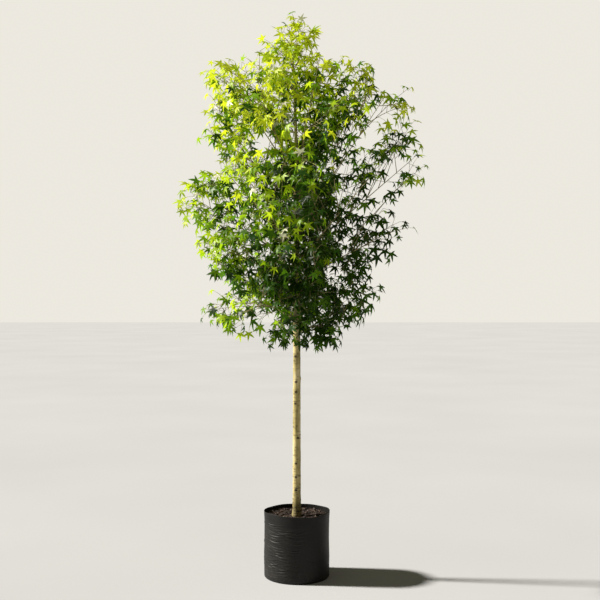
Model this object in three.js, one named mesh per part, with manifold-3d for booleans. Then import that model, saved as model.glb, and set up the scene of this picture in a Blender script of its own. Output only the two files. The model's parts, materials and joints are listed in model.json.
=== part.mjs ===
// A young sweetgum with a clear stem and an oval crown, standing in a straight-sided black pot.
// Millimetres, +Z up. The origin is the centre of the pot's flat underside, -Y is the front and +X the right.

import * as THREE from "three";
import { mergeVertices } from "three/addons/utils/BufferGeometryUtils.js";
import Module from "manifold-3d";

const wasm = await Module();
wasm.setup();

// Gap left between solids that touch on the real plant
const CLEAR = 0.3;

// Thin-walled pot and the bark compost that fills it
const POT = { radius: 180, height: 362, wall: 3, floor: 4, footRound: 9, sides: 36 };
const SOIL = { edgeBelowRim: 26, domeHeight: 8, flatRadius: 45, sides: 36 };
const SOIL_TOP = POT.height - SOIL.edgeBelowRim + SOIL.domeHeight;

// Trunk: radii at named heights, a flare at the cut and a lean of the leader to the left
const TRUNK = {
  foot: SOIL_TOP + CLEAR,
  tip: 2920,
  radii: [
    { height: 0, radius: 27.5 },
    { height: 35, radius: 24.2 },
    { height: 110, radius: 22.6 },
    { height: 930, radius: 20.2 },
    { height: 1500, radius: 14.5 },
    { height: 2150, radius: 8.5 },
    { height: 2600, radius: 5 },
  ],
  leanFrom: 2100,
  leanBy: -26,
  sides: 12,
  steps: 20,
  ringCrowding: 1.6,
};

// How far the leaves reach from the trunk, to the left and to the right, at heights above the ground
const CROWN = [
  { height: 1262, left: 150, right: 200 },
  { height: 1380, left: 430, right: 430 },
  { height: 1460, left: 500, right: 515 },
  { height: 1680, left: 490, right: 500 },
  { height: 1940, left: 620, right: 650 },
  { height: 2140, left: 690, right: 725 },
  { height: 2280, left: 640, right: 750 },
  { height: 2700, left: 480, right: 630 },
  { height: 2850, left: 525, right: 440 },
  { height: 2910, left: 240, right: 280 },
  { height: 3010, left: 190, right: 140 },
  { height: 3152, left: 130, right: 90 },
];

// Boughs stand in a spiral up the trunk, low ones nearly level and high ones steep
const BOUGH = {
  count: 27,
  lowestTip: 1385,
  highestTip: 2905,
  spiralTurn: THREE.MathUtils.degToRad(137.5),
  firstTurn: THREE.MathUtils.degToRad(-40),
  riseLow: THREE.MathUtils.degToRad(10),
  riseHigh: THREE.MathUtils.degToRad(60),
  archLow: 0.08,
  archHigh: -0.05,
  reachLoss: 0.05,
  share: 0.21,
  radiusLow: 9,
  radiusHigh: 6.5,
  taper: 0.68,
  sides: 5,
  steps: 3,
};

// Masses of foliage: a square stem, three-sided twigs and stalked leaves whose roots end well inside
const STEM = { rootRadius: 5.5, endRadius: 4, sides: 4, steps: 4 };
const TWIG = {
  places: [0.2, 0.42, 0.66],
  angle: THREE.MathUtils.degToRad(54),
  lengthShare: 0.5,
  tipLoss: 0.45,
  tries: 6,
  probes: [0.4, 0.7, 1],
  rootRadius: 3,
  endRadius: 2.8,
  sides: 3,
};
const LEADER = { length: 140, leanBy: -4 };

// A five-lobed leaf on its stalk: points round one half of the blade, by angle from the midrib and by share
// of the leaf's length, with the lobes' tips bent down
const LEAF = {
  length: 120,
  stalk: 54,
  stalkHalfWidth: 0.8,
  stalkDepth: 1.1,
  thickness: 3,
  tip: { angle: 0, share: 1, bend: 0.16 },
  half: [
    { angle: 27, share: 0.42, bend: 0 },
    { angle: 54, share: 0.92, bend: 0.16 },
    { angle: 83, share: 0.38, bend: 0 },
    { angle: 112, share: 0.66, bend: 0.16 },
    { angle: 157, share: 0.16, bend: 0 },
  ],
  hangLeast: 0.5,
  hangMost: 1.5,
  rollMost: THREE.MathUtils.degToRad(30),
  probes: [0, 0.34, 0.67],
};

// How far the leaf at a stem's tip stands out past it, and how far it hangs below
const LEAF_REACH = 78;
const LEAF_HANG = 45;

// How the leaves of a mass are dealt out
const DEAL = {
  leaves: 12,
  slots: 120,
  tipPlace: 0.985,
  firstPlace: 0.06,
  lastPlace: 0.94,
  tries: 8,
  leastSpacing: 20,
  overReach: 30,
  spaceMargin: 4,
  limbMargin: 5,
  twigMargin: 9,
  twigSpacing: 12,
  tipAngle: THREE.MathUtils.degToRad(7),
  sideAngle: THREE.MathUtils.degToRad(60),
};
const GOLDEN = (Math.sqrt(5) - 1) / 2;

// A twig or leaf whose joint would leave an edge shorter than this is not joined
const SHORTEST_EDGE = 0.04;

// Colours: young foliage at the top, deep green low down
const COLOUR = {
  pot: 0x1b1c1c,
  soil: 0x3d2e25,
  bark: 0xb3a06a,
  boughBark: 0x7f7446,
  leafYoung: 0xa9c02c,
  leafGreen: 0x4f8a22,
  leafDeep: 0x23531f,
};
const YOUNG_ABOVE = 2560;
const DEEP_BELOW = 1760;

const UP = new THREE.Vector3(0, 0, 1);
const lerp = THREE.MathUtils.lerp;

// Repeatable draws between 0 and 1
function seededDraws(seed) {
  let state = Math.imul(seed, 2654435761) >>> 0;
  return () => {
    state = (Math.imul(state, 1664525) + 1013904223) >>> 0;
    return state / 4294967296;
  };
}

// Value of a named size between the rows of a table sorted by height
function atHeight(rows, height, name) {
  const above = rows.findIndex((row) => row.height >= height);
  if (above === 0) return rows[0][name];
  if (above < 0) return rows[rows.length - 1][name];
  const [low, high] = [rows[above - 1], rows[above]];
  return THREE.MathUtils.mapLinear(height, low.height, high.height, low[name], high[name]);
}

function trunkRadius(height) {
  return atHeight(TRUNK.radii, height - TRUNK.foot, "radius");
}

// Centre of the trunk at a height: straight, then leaning by the square of the height
function trunkCentre(height) {
  const lean = Math.max(0, (height - TRUNK.leanFrom) / (TRUNK.tip - TRUNK.leanFrom));
  return new THREE.Vector3(TRUNK.leanBy * lean * lean, 0, height);
}

// Crown's reach in a direction: the left and right reaches blended round the trunk
function crownReach(height, turn) {
  const right = (1 + Math.cos(turn)) / 2;
  return lerp(atHeight(CROWN, height, "left"), atHeight(CROWN, height, "right"), right);
}

// Closed geometry as a solid that can be joined and cut
function solidOf(geometry) {
  const bare = geometry.clone();
  bare.deleteAttribute("normal");
  bare.deleteAttribute("uv");
  const merged = mergeVertices(bare);
  return new wasm.Manifold(
    new wasm.Mesh({
      numProp: 3,
      vertProperties: merged.getAttribute("position").array,
      triVerts: new Uint32Array(merged.index.array),
    }),
  );
}

function geometryOf(solid) {
  const { vertProperties, triVerts } = solid.getMesh();
  const geometry = new THREE.BufferGeometry();
  geometry.setAttribute("position", new THREE.BufferAttribute(vertProperties, 3));
  geometry.setIndex(new THREE.BufferAttribute(triVerts, 1));
  geometry.computeVertexNormals();
  return geometry;
}

// Round body turned about the upright axis from a profile of [radius, height] pairs
function turned(profile, sides) {
  const points = profile.map(([radius, height]) => new THREE.Vector2(radius, height));
  return new THREE.LatheGeometry(points, sides).rotateX(Math.PI / 2);
}

// Tapering limb with flat ends: a lathe of unit length whose rings are carried along a curve
function taperedLimb(curve, radiusAt, sides, steps) {
  const shares = Array.from({ length: steps + 1 }, (_, i) => i / steps);
  const rings = shares.map((share) => new THREE.Vector2(radiusAt(share), share));
  const profile = [new THREE.Vector2(0, 0), ...rings, new THREE.Vector2(0, 1)];
  const limb = new THREE.LatheGeometry(profile, sides);
  const { normals, binormals } = curve.computeFrenetFrames(steps, false);
  const position = limb.getAttribute("position");
  for (let i = 0; i < position.count; i++) {
    const along = position.getY(i);
    const step = Math.round(along * steps);
    const place = curve
      .getPointAt(along)
      .addScaledVector(binormals[step], position.getX(i))
      .addScaledVector(normals[step], position.getZ(i));
    position.setXYZ(i, place.x, place.y, place.z);
  }
  return limb;
}

function potGeometry() {
  const { radius, height, wall, floor, footRound, sides } = POT;
  return turned(
    [
      [0, 0],
      [radius - footRound, 0],
      [radius - footRound / 3, footRound / 3],
      [radius, footRound],
      [radius, height],
      [radius - wall, height],
      [radius - wall, footRound],
      [radius - wall - footRound, floor],
      [0, floor],
    ],
    sides,
  );
}

function soilGeometry() {
  const inside = POT.radius - POT.wall - CLEAR;
  const bottom = POT.floor + CLEAR;
  return turned(
    [
      [0, bottom],
      [inside - POT.footRound, bottom],
      [inside, POT.footRound + CLEAR],
      [inside, SOIL_TOP - SOIL.domeHeight],
      [SOIL.flatRadius, SOIL_TOP],
      [0, SOIL_TOP],
    ],
    SOIL.sides,
  );
}

// Trunk, or with extra the same trunk grown evenly, for cutting what meets it
function trunkGeometry(extra = 0) {
  const { foot, tip, sides, steps, ringCrowding } = TRUNK;
  const shares = Array.from({ length: steps + 1 }, (_, i) => (i / steps) ** ringCrowding);
  const heights = shares.map((share) => lerp(foot, tip, share));
  const profile = [[0, foot], ...heights.map((height) => [trunkRadius(height) + extra, height]), [0, tip]];
  const trunk = turned(profile, sides);
  const position = trunk.getAttribute("position");
  for (let i = 0; i < position.count; i++) {
    position.setX(i, position.getX(i) + trunkCentre(position.getZ(i)).x);
  }
  return trunk;
}

// How far up the crown a bough stands, from 0 to 1
function climbOf(index) {
  return (index + 0.5) / BOUGH.count;
}

// Line of a bough from the trunk's centre to the tip of its foliage's stem
function boughLine(index) {
  const draw = seededDraws(index + 1);
  const climb = climbOf(index);
  const tipHeight = lerp(BOUGH.lowestTip, BOUGH.highestTip, climb);
  const turn = BOUGH.firstTurn + index * BOUGH.spiralTurn;
  const reach = crownReach(tipHeight - LEAF_HANG, turn) * (1 - BOUGH.reachLoss * draw()) - LEAF_REACH;
  const rise = lerp(BOUGH.riseLow, BOUGH.riseHigh, climb);
  const outward = new THREE.Vector3(Math.cos(turn), Math.sin(turn), 0);
  const stemTip = trunkCentre(tipHeight).addScaledVector(outward, reach);
  const root = trunkCentre(tipHeight - reach * Math.tan(rise));
  const arch = lerp(BOUGH.archLow, BOUGH.archHigh, climb) * reach;
  const middle = root.clone().lerp(stemTip, 0.5).addScaledVector(UP, arch);
  return new THREE.QuadraticBezierCurve3(root, middle, stemTip);
}

// Part of a quadratic curve between two shares of it
function stretchOf(curve, from, to) {
  const start = curve.getPoint(from);
  const firstLeg = curve.v1.clone().sub(curve.v0);
  const secondLeg = curve.v2.clone().sub(curve.v1);
  const middle = start.clone().addScaledVector(firstLeg.lerp(secondLeg, from), to - from);
  return new THREE.QuadraticBezierCurve3(start, middle, curve.getPoint(to));
}

// Straight curve in the quadratic form that the limbs use
function straightLine(from, to) {
  return new THREE.QuadraticBezierCurve3(from, from.clone().lerp(to, 0.5), to);
}

// Two unit directions square to a tangent, the first level
function acrossOf(tangent) {
  const level = new THREE.Vector3().crossVectors(UP, tangent).normalize();
  const over = new THREE.Vector3().crossVectors(tangent, level);
  return { level, over };
}

// Direction that leaves a tangent by an angle, turned round it by a roll
function branchDirection(tangent, angle, roll) {
  const { level, over } = acrossOf(tangent);
  return tangent
    .clone()
    .multiplyScalar(Math.cos(angle))
    .addScaledVector(level, Math.sin(angle) * Math.cos(roll))
    .addScaledVector(over, Math.sin(angle) * Math.sin(roll));
}

// Stalked leaf: its outline runs round the blade and back along the stalk to a foot at the twig's middle
function growLeaf(foot, direction, hang, roll) {
  const heart = foot.clone().addScaledVector(direction, LEAF.stalk);
  const midrib = direction.clone().addScaledVector(UP, -hang).normalize();
  const { level, over } = acrossOf(midrib);
  const face = over.applyAxisAngle(midrib, roll);
  const across = level.applyAxisAngle(midrib, roll);
  const bladePoint = (side, { angle, share, bend }) => {
    const turn = THREE.MathUtils.degToRad(angle) * side;
    return heart
      .clone()
      .addScaledVector(midrib, Math.cos(turn) * share * LEAF.length)
      .addScaledVector(across, Math.sin(turn) * share * LEAF.length)
      .addScaledVector(face, -bend * share * LEAF.length);
  };
  const left = LEAF.half.map((row) => bladePoint(1, row));
  const right = LEAF.half.map((row) => bladePoint(-1, row)).reverse();
  const footLeft = foot.clone().addScaledVector(across, LEAF.stalkHalfWidth);
  const footRight = foot.clone().addScaledVector(across, -LEAF.stalkHalfWidth);
  const footBelow = foot.clone().addScaledVector(face, -LEAF.stalkDepth);
  const outline = [bladePoint(1, LEAF.tip), ...left, footLeft, footRight, ...right];
  return { heart, face, outline, footBelow, footAt: outline.indexOf(footLeft) };
}

// Closed surface of a leaf: fans from points above and below its heart to the outline, and the foot's end
function leafGeometry({ heart, face, outline, footBelow, footAt }) {
  const top = heart.clone().addScaledVector(face, LEAF.thickness / 2);
  const bottom = heart.clone().addScaledVector(face, -LEAF.thickness / 2);
  const count = outline.length;
  const [topAt, bottomAt, belowAt] = [count, count + 1, count + 2];
  const triangles = [];
  outline.forEach((_, i) => {
    const next = (i + 1) % count;
    triangles.push(topAt, i, next);
    if (i === footAt) triangles.push(bottomAt, belowAt, i, bottomAt, next, belowAt, i, belowAt, next);
    else triangles.push(bottomAt, next, i);
  });
  const geometry = new THREE.BufferGeometry().setFromPoints([...outline, top, bottom, footBelow]);
  return geometry.setIndex(triangles);
}

// Points that stand for a leaf when it is tested for room
function leafProbes({ heart, outline }) {
  return outline.flatMap((point) => LEAF.probes.map((share) => point.clone().lerp(heart, share)));
}

// True where no point of one leaf lies close to a point of the other
function leavesApart(probes, others) {
  const least = DEAL.leastSpacing ** 2;
  return probes.every((point) => others.every((other) => point.distanceToSquared(other) > least));
}

// True where the blade of a leaf keeps clear of points along the twigs of its own mass
function clearOfTwigs({ heart, outline, footAt }, twigPoints) {
  const nearest = new THREE.Vector3();
  const blade = [...outline.slice(footAt + 2), ...outline.slice(0, footAt)];
  const faces = blade.slice(1).map((point, i) => new THREE.Triangle(heart, blade[i], point));
  const clear = (face, point) => face.closestPointToPoint(point, nearest).distanceTo(point) > DEAL.twigMargin;
  return twigPoints.every((point) => faces.every((face) => clear(face, point)));
}

// Distance from a point to a curve sampled as straight pieces
function distanceTo(pieces, point) {
  const nearest = new THREE.Vector3();
  const distances = pieces.map((piece) => piece.closestPointToPoint(point, true, nearest).distanceTo(point));
  return Math.min(...distances);
}

function piecesOf(curve, count) {
  const points = curve.getPoints(count);
  return points.slice(1).map((point, i) => new THREE.Line3(points[i], point));
}

// Limbs: the trunk, each bough, and the stem line of each mass of foliage
const boughLines = Array.from({ length: BOUGH.count }, (_, index) => boughLine(index));
const boughCurves = boughLines.map((line) => stretchOf(line, 0, BOUGH.share));
const stemCurves = boughLines.map((line) => {
  const gap = CLEAR / line.getLength();
  return stretchOf(line, BOUGH.share + gap, 1);
});
const leaderFoot = trunkCentre(TRUNK.tip + CLEAR);
const leaderTip = leaderFoot.clone().add(new THREE.Vector3(LEADER.leanBy, 0, LEADER.length));
stemCurves.push(straightLine(leaderFoot, leaderTip));

const boughPieces = boughCurves.map((curve) => piecesOf(curve, BOUGH.steps));
const stemPieces = stemCurves.map((curve) => piecesOf(curve, STEM.steps));

// True where a point is inside the crown's outline
function inCrown(point) {
  const centre = trunkCentre(point.z);
  const turn = Math.atan2(point.y, point.x - centre.x);
  const level = point.z > CROWN[0].height && point.z < CROWN[CROWN.length - 1].height;
  return level && Math.hypot(point.x - centre.x, point.y) < crownReach(point.z, turn) + DEAL.overReach;
}

// True where a point is nearer its own stem than any other, and clear of the trunk and the boughs
function inOwnSpace(point, mass) {
  if (!inCrown(point)) return false;
  const own = distanceTo(stemPieces[mass], point) + 2 * DEAL.spaceMargin;
  if (stemPieces.some((pieces, other) => other !== mass && distanceTo(pieces, point) < own)) return false;
  const trunkGap = Math.hypot(point.x - trunkCentre(point.z).x, point.y) - trunkRadius(point.z);
  if (point.z < TRUNK.tip && trunkGap < DEAL.limbMargin) return false;
  return boughPieces.every((pieces) => distanceTo(pieces, point) > BOUGH.radiusLow + DEAL.limbMargin);
}

// Side twigs of a stem, rolled round it by the spiral turn and skipped where they lack room
function growTwigs(stem, mass, draw) {
  const firstRoll = draw() * 2 * Math.PI;
  const twigs = TWIG.places.map((place, i) => {
    const from = stem.getPointAt(place);
    const tangent = stem.getTangentAt(place);
    const length = stem.getLength() * TWIG.lengthShare * (1 - place * TWIG.tipLoss);
    for (let turn = 0; turn < TWIG.tries; turn++) {
      const direction = branchDirection(tangent, TWIG.angle, firstRoll + (i + turn) * BOUGH.spiralTurn);
      const twig = straightLine(from, from.clone().addScaledVector(direction, length));
      if (TWIG.probes.every((share) => inOwnSpace(twig.getPointAt(share), mass))) return twig;
    }
    return null;
  });
  return twigs.filter(Boolean);
}

// Leaves of a mass: one at each tip, the others rolled round their twig until they find room
function dealLeaves(stem, twigs, mass, draw, joinLeaf) {
  const leaves = [];
  const spaced = (curve) => curve.getPoints(Math.ceil(curve.getLength() / DEAL.twigSpacing));
  const twigPoints = [stem, ...twigs].flatMap(spaced);
  const fits = (leaf) => {
    const probes = leafProbes(leaf);
    if (leaves.some((other) => !leavesApart(probes, leafProbes(other)))) return false;
    return clearOfTwigs(leaf, twigPoints) && probes.every((point) => inOwnSpace(point, mass));
  };
  const tryLeaf = (curve, place, angle) => {
    const foot = curve.getPointAt(place);
    const tangent = curve.getTangentAt(place);
    const firstRoll = draw() * 2 * Math.PI;
    for (let i = 0; i < DEAL.tries; i++) {
      const direction = branchDirection(tangent, angle, firstRoll + i * BOUGH.spiralTurn);
      const hang = lerp(LEAF.hangLeast, LEAF.hangMost, draw());
      const roll = LEAF.rollMost * (2 * draw() - 1);
      const leaf = growLeaf(foot, direction, hang, roll);
      if (fits(leaf) && joinLeaf(leaf)) return leaves.push(leaf);
    }
    return 0;
  };
  for (const twig of [stem, ...twigs]) tryLeaf(twig, DEAL.tipPlace, DEAL.tipAngle);
  const carriers = [stem, stem, ...twigs];
  for (let slot = 1; slot <= DEAL.slots && leaves.length < DEAL.leaves; slot++) {
    const place = lerp(DEAL.lastPlace, DEAL.firstPlace, (slot * GOLDEN) % 1);
    tryLeaf(carriers[slot % carriers.length], place, DEAL.sideAngle);
  }
}

// Length of the shortest edge of a solid
function shortestEdge(solid) {
  const { vertProperties, triVerts } = solid.getMesh();
  const corners = Array.from(triVerts, (at) => new THREE.Vector3().fromArray(vertProperties, 3 * at));
  const lengths = corners.map((corner, i) => corner.distanceTo(corners[i % 3 === 2 ? i - 2 : i + 1]));
  return Math.min(...lengths);
}

// One mass: stem, twigs and leaves joined into one body, with any hollow or loose scrap left out
function foliageSolid(mass) {
  const draw = seededDraws(1000 + mass);
  const stem = stemCurves[mass];
  const stemRadius = (share) => lerp(STEM.rootRadius, STEM.endRadius, share);
  const twigRadius = (share) => lerp(TWIG.rootRadius, TWIG.endRadius, share);
  let joined = solidOf(taperedLimb(stem, stemRadius, STEM.sides, STEM.steps));
  const join = (geometry) => {
    const grown = joined.add(solidOf(geometry));
    const sound = shortestEdge(grown) > SHORTEST_EDGE;
    if (sound) joined = grown;
    return sound;
  };
  const joinTwig = (twig) => join(taperedLimb(twig, twigRadius, TWIG.sides, 1));
  const twigs = growTwigs(stem, mass, draw).filter(joinTwig);
  dealLeaves(stem, twigs, mass, draw, (leaf) => join(leafGeometry(leaf)));
  return joined.decompose().reduce((largest, body) => (body.volume() > largest.volume() ? body : largest));
}

// A bough is cut to the trunk's surface so that its root sits on the bark
function boughSolid(index, grownTrunk) {
  const rootRadius = lerp(BOUGH.radiusLow, BOUGH.radiusHigh, climbOf(index));
  const radiusAt = (share) => rootRadius * lerp(1, BOUGH.taper, share);
  return solidOf(taperedLimb(boughCurves[index], radiusAt, BOUGH.sides, BOUGH.steps)).subtract(grownTrunk);
}

function finish(color, roughness) {
  return new THREE.MeshStandardMaterial({ color, roughness, metalness: 0, flatShading: true });
}

const FINISH = {
  pot: finish(COLOUR.pot, 0.55),
  soil: finish(COLOUR.soil, 0.95),
  bark: finish(COLOUR.bark, 0.8),
  boughBark: finish(COLOUR.boughBark, 0.8),
  leafYoung: finish(COLOUR.leafYoung, 0.5),
  leafGreen: finish(COLOUR.leafGreen, 0.5),
  leafDeep: finish(COLOUR.leafDeep, 0.5),
};

const tree = new THREE.Group();

function addPiece(name, geometry, material) {
  const mesh = new THREE.Mesh(geometry, material);
  mesh.name = name;
  tree.add(mesh);
}

function leafFinish(height) {
  if (height > YOUNG_ABOVE) return FINISH.leafYoung;
  return height < DEEP_BELOW ? FINISH.leafDeep : FINISH.leafGreen;
}

function numbered(name, index) {
  return `${name}_${String(index + 1).padStart(2, "0")}`;
}

addPiece("pot", potGeometry(), FINISH.pot);
addPiece("soil", soilGeometry(), FINISH.soil);
addPiece("trunk", trunkGeometry(), FINISH.bark);

const grownTrunk = solidOf(trunkGeometry(CLEAR));
boughCurves.forEach((_, index) => {
  addPiece(numbered("bough", index), geometryOf(boughSolid(index, grownTrunk)), FINISH.boughBark);
});
stemCurves.forEach((stem, mass) => {
  const name = mass < BOUGH.count ? numbered("foliage", mass) : "foliage_leader";
  addPiece(name, geometryOf(foliageSolid(mass)), leafFinish(stem.getPoint(1).z));
});

export default tree;
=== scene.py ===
"""Looks of a potted young sweetgum: bark, twigs, leaves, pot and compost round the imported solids.

Metres, +Z up. The origin is the centre of the pot's flat underside, -Y is the front and +X the right.
"""

import json
import logging
import math
from dataclasses import dataclass, field, replace
from enum import Enum
from typing import Self

import bpy
import numpy as np
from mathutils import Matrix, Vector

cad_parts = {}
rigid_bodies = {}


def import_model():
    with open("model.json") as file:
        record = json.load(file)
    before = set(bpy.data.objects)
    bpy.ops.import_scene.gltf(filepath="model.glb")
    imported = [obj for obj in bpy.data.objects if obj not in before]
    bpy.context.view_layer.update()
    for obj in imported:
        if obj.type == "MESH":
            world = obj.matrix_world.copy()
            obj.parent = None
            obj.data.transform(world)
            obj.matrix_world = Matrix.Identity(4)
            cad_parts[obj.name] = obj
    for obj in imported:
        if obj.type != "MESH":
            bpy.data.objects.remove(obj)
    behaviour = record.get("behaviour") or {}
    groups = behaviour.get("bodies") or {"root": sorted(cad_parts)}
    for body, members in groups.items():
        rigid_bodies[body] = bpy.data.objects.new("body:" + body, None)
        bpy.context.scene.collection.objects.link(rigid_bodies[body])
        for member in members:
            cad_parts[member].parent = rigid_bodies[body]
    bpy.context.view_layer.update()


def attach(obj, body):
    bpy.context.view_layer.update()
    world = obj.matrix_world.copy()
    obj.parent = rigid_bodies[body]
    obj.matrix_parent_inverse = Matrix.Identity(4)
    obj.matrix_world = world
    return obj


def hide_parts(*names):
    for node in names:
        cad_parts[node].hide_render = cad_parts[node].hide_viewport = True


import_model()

LOG = logging.getLogger("sweetgum")
Array = np.ndarray
Span = tuple[float, float]
Triple = tuple[float, float, float]
Numbers = tuple[float, ...]
Colour = Triple
Material = bpy.types.Material
Piece = bpy.types.Object
Socket = bpy.types.NodeSocket

EYE: Triple = (0.018, -5.3, 1.529)
UP = np.array([0.0, 0.0, 1.0])
ALONG_X = np.array([1.0, 0.0, 0.0])
FULL_TURN = 2 * math.pi
SPIRAL_TURN = math.radians(137.5)
GOLDEN_SHARE = 0.618034
NEARLY_UPRIGHT = 0.9
FRONT = -math.pi / 2
SPREAD_FACTOR = np.uint64(2654435761)
STEP_FACTOR = np.uint64(1664525)
STEP_ADDED = np.uint64(1013904223)
LOW_BITS = np.uint64(0xFFFFFFFF)


def linear(code: str) -> Colour:
    """Linear colour of a six-figure display colour code.

    Args:
        code: red, green and blue as two hexadecimal figures each.

    Returns:
        The three channels as light, from 0 to 1.
    """
    shown = np.array([int(code[i : i + 2], 16) for i in (0, 2, 4)]) / 255
    light = np.where(shown <= 0.04045, shown / 12.92, ((shown + 0.055) / 1.055) ** 2.4)
    return tuple(float(channel) for channel in light)


def unit(vectors: Array) -> Array:
    """Vectors along the last axis, each divided by its length."""
    return vectors / np.maximum(np.linalg.norm(vectors, axis=-1, keepdims=True), 1e-12)


def across_of(tangents: Array) -> tuple[Array, Array]:
    """Two unit directions square to each tangent: a level one and the one over it.

    The first is the cross product of up and the tangent, or along X where the tangent is upright. The second
    is the cross product of the tangent and the first.
    """
    level = np.cross(UP, tangents)
    upright = np.linalg.norm(level, axis=-1, keepdims=True) < 1e-6
    level = unit(np.where(upright, ALONG_X, level))
    return level, np.cross(tangents, level)


def branch_direction(tangents: Array, angle: Array, roll: Array) -> Array:
    """Directions that leave tangents by an angle, turned round them by a roll.

    The cosine of the angle goes along the tangent, and its sine across it, shared between the level and the
    over direction by the cosine and sine of the roll.

    Args:
        tangents: unit directions, n by 3.
        angle: angle from the tangent, one or n.
        roll: turn round the tangent, n.

    Returns:
        Unit directions, n by 3.
    """
    level, over = across_of(tangents)
    angle = np.broadcast_to(angle, roll.shape)[:, None]
    roll = roll[:, None]
    side = np.cos(roll) * level + np.sin(roll) * over
    return np.cos(angle) * tangents + np.sin(angle) * side


def curve_points(controls: Array, shares: Array) -> Array:
    """Points of quadratic curves: squares and products of the share and its rest weigh the three controls.

    Args:
        controls: root, middle and tip of n curves, n by 3 by 3.
        shares: k shares for every curve, k or n by k.

    Returns:
        Points, n by k by 3.
    """
    t = np.broadcast_to(shares, (len(controls), np.shape(shares)[-1]))[..., None]
    root, middle, tip = (controls[:, None, i] for i in range(3))
    return (1 - t) ** 2 * root + 2 * t * (1 - t) * middle + t**2 * tip


def curve_tangents(controls: Array, shares: Array) -> Array:
    """Unit tangents at the same points, n by k by 3: the two legs blended by the share."""
    t = np.broadcast_to(shares, (len(controls), np.shape(shares)[-1]))[..., None]
    first = (controls[:, 1] - controls[:, 0])[:, None]
    second = (controls[:, 2] - controls[:, 1])[:, None]
    return unit((1 - t) * first + t * second)


def ripples(along: Array, turn: Array, rng: np.random.Generator, waves: int, scale: float) -> Array:
    """Gentle unevenness of a round surface: a mean of sines of the length and of whole turns.

    Args:
        along: length along the surface.
        turn: turn round it.
        rng: seeded draws.
        waves: number of sines.
        scale: shortest wave along the surface, in metres.

    Returns:
        Heights of about -1 to 1.
    """
    total = np.zeros(np.broadcast(along, turn).shape)
    for _ in range(waves):
        pace = FULL_TURN / (scale * rng.uniform(1, 4))
        lobes = rng.integers(0, 4)
        total += np.sin(pace * along + lobes * turn + rng.uniform(0, FULL_TURN))
    return total / math.sqrt(waves)


def smooth_step(values: Array, low: float, high: float) -> Array:
    """Rise from 0 at low to 1 at high along 3 t squared less 2 t cubed; a fall where high lies below low."""
    t = np.clip((values - low) / (high - low), 0, 1)
    return t * t * (3 - 2 * t)


def between(limits: Span, share: Array) -> Array:
    """Values that go from one limit to the other with a share."""
    return limits[0] + (limits[1] - limits[0]) * share


def around(reach: Array, turn: Array, z: Array | float = 0.0) -> Array:
    """Points by their distance from an upright axis, their turn round it and their height."""
    return np.stack(np.broadcast_arrays(reach * np.cos(turn), reach * np.sin(turn), z), axis=-1)


def turns(sides: int) -> Array:
    """Even turns round a ring, one for each side."""
    return np.arange(sides) * FULL_TURN / sides


def wrapped(turn: Array) -> Array:
    """Turns brought between minus and plus half a turn."""
    return (turn + math.pi) % FULL_TURN - math.pi


def placed(name: str, data: bpy.types.ID) -> Piece:
    """New object in the scene, at the origin."""
    thing = bpy.data.objects.new(name, data)
    bpy.context.scene.collection.objects.link(thing)
    return thing


@dataclass
class Surface:
    """Points and faces of a joined mesh.

    Attributes:
        points: n by 3.
        corners: point numbers of all the faces in a row.
        sizes: corners of each face.
        tints: finish number of each face.
        marks: a value for each point, by name.
    """

    points: Array
    corners: Array
    sizes: Array
    tints: Array | None = None
    marks: dict[str, Array] = field(default_factory=dict)

    def piece(self, name: str, finishes: list[Material], slot: str, nodes: list[str]) -> Piece:
        """Puts the surface into the scene as a piece that stands for solids.

        Args:
            name: the piece's name.
            finishes: materials, in the order of the tints.
            slot: the record's material slot; not used.
            nodes: solids that the piece replaces.

        Returns:
            The new object, at the origin and riding on the root body.
        """
        mesh = bpy.data.meshes.new(name)
        mesh.vertices.add(len(self.points))
        mesh.vertices.foreach_set("co", self.points.astype(np.float32).ravel())
        mesh.loops.add(len(self.corners))
        mesh.loops.foreach_set("vertex_index", self.corners.astype(np.int32))
        mesh.polygons.add(len(self.sizes))
        starts = np.concatenate([[0], np.cumsum(self.sizes)[:-1]])
        mesh.polygons.foreach_set("loop_start", starts.astype(np.int32))
        if self.tints is not None:
            mesh.polygons.foreach_set("material_index", self.tints.astype(np.int32))
        mesh.polygons.foreach_set("use_smooth", np.ones(len(self.sizes), bool))
        for mark, values in self.marks.items():
            layer = mesh.attributes.new(mark, "FLOAT", "POINT")
            layer.data.foreach_set("value", values.astype(np.float32).ravel())
        for finish in finishes:
            mesh.materials.append(finish)
        mesh.update(calc_edges=True)
        mesh.validate()
        piece = placed(name, mesh)
        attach(piece, "root")
        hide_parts(*nodes)
        triangles = int(np.sum(self.sizes - 2))
        report = "%s: %d faces, %d triangles, stands for %d nodes"
        LOG.info(report, name, len(self.sizes), triangles, len(nodes))
        return piece


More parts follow.
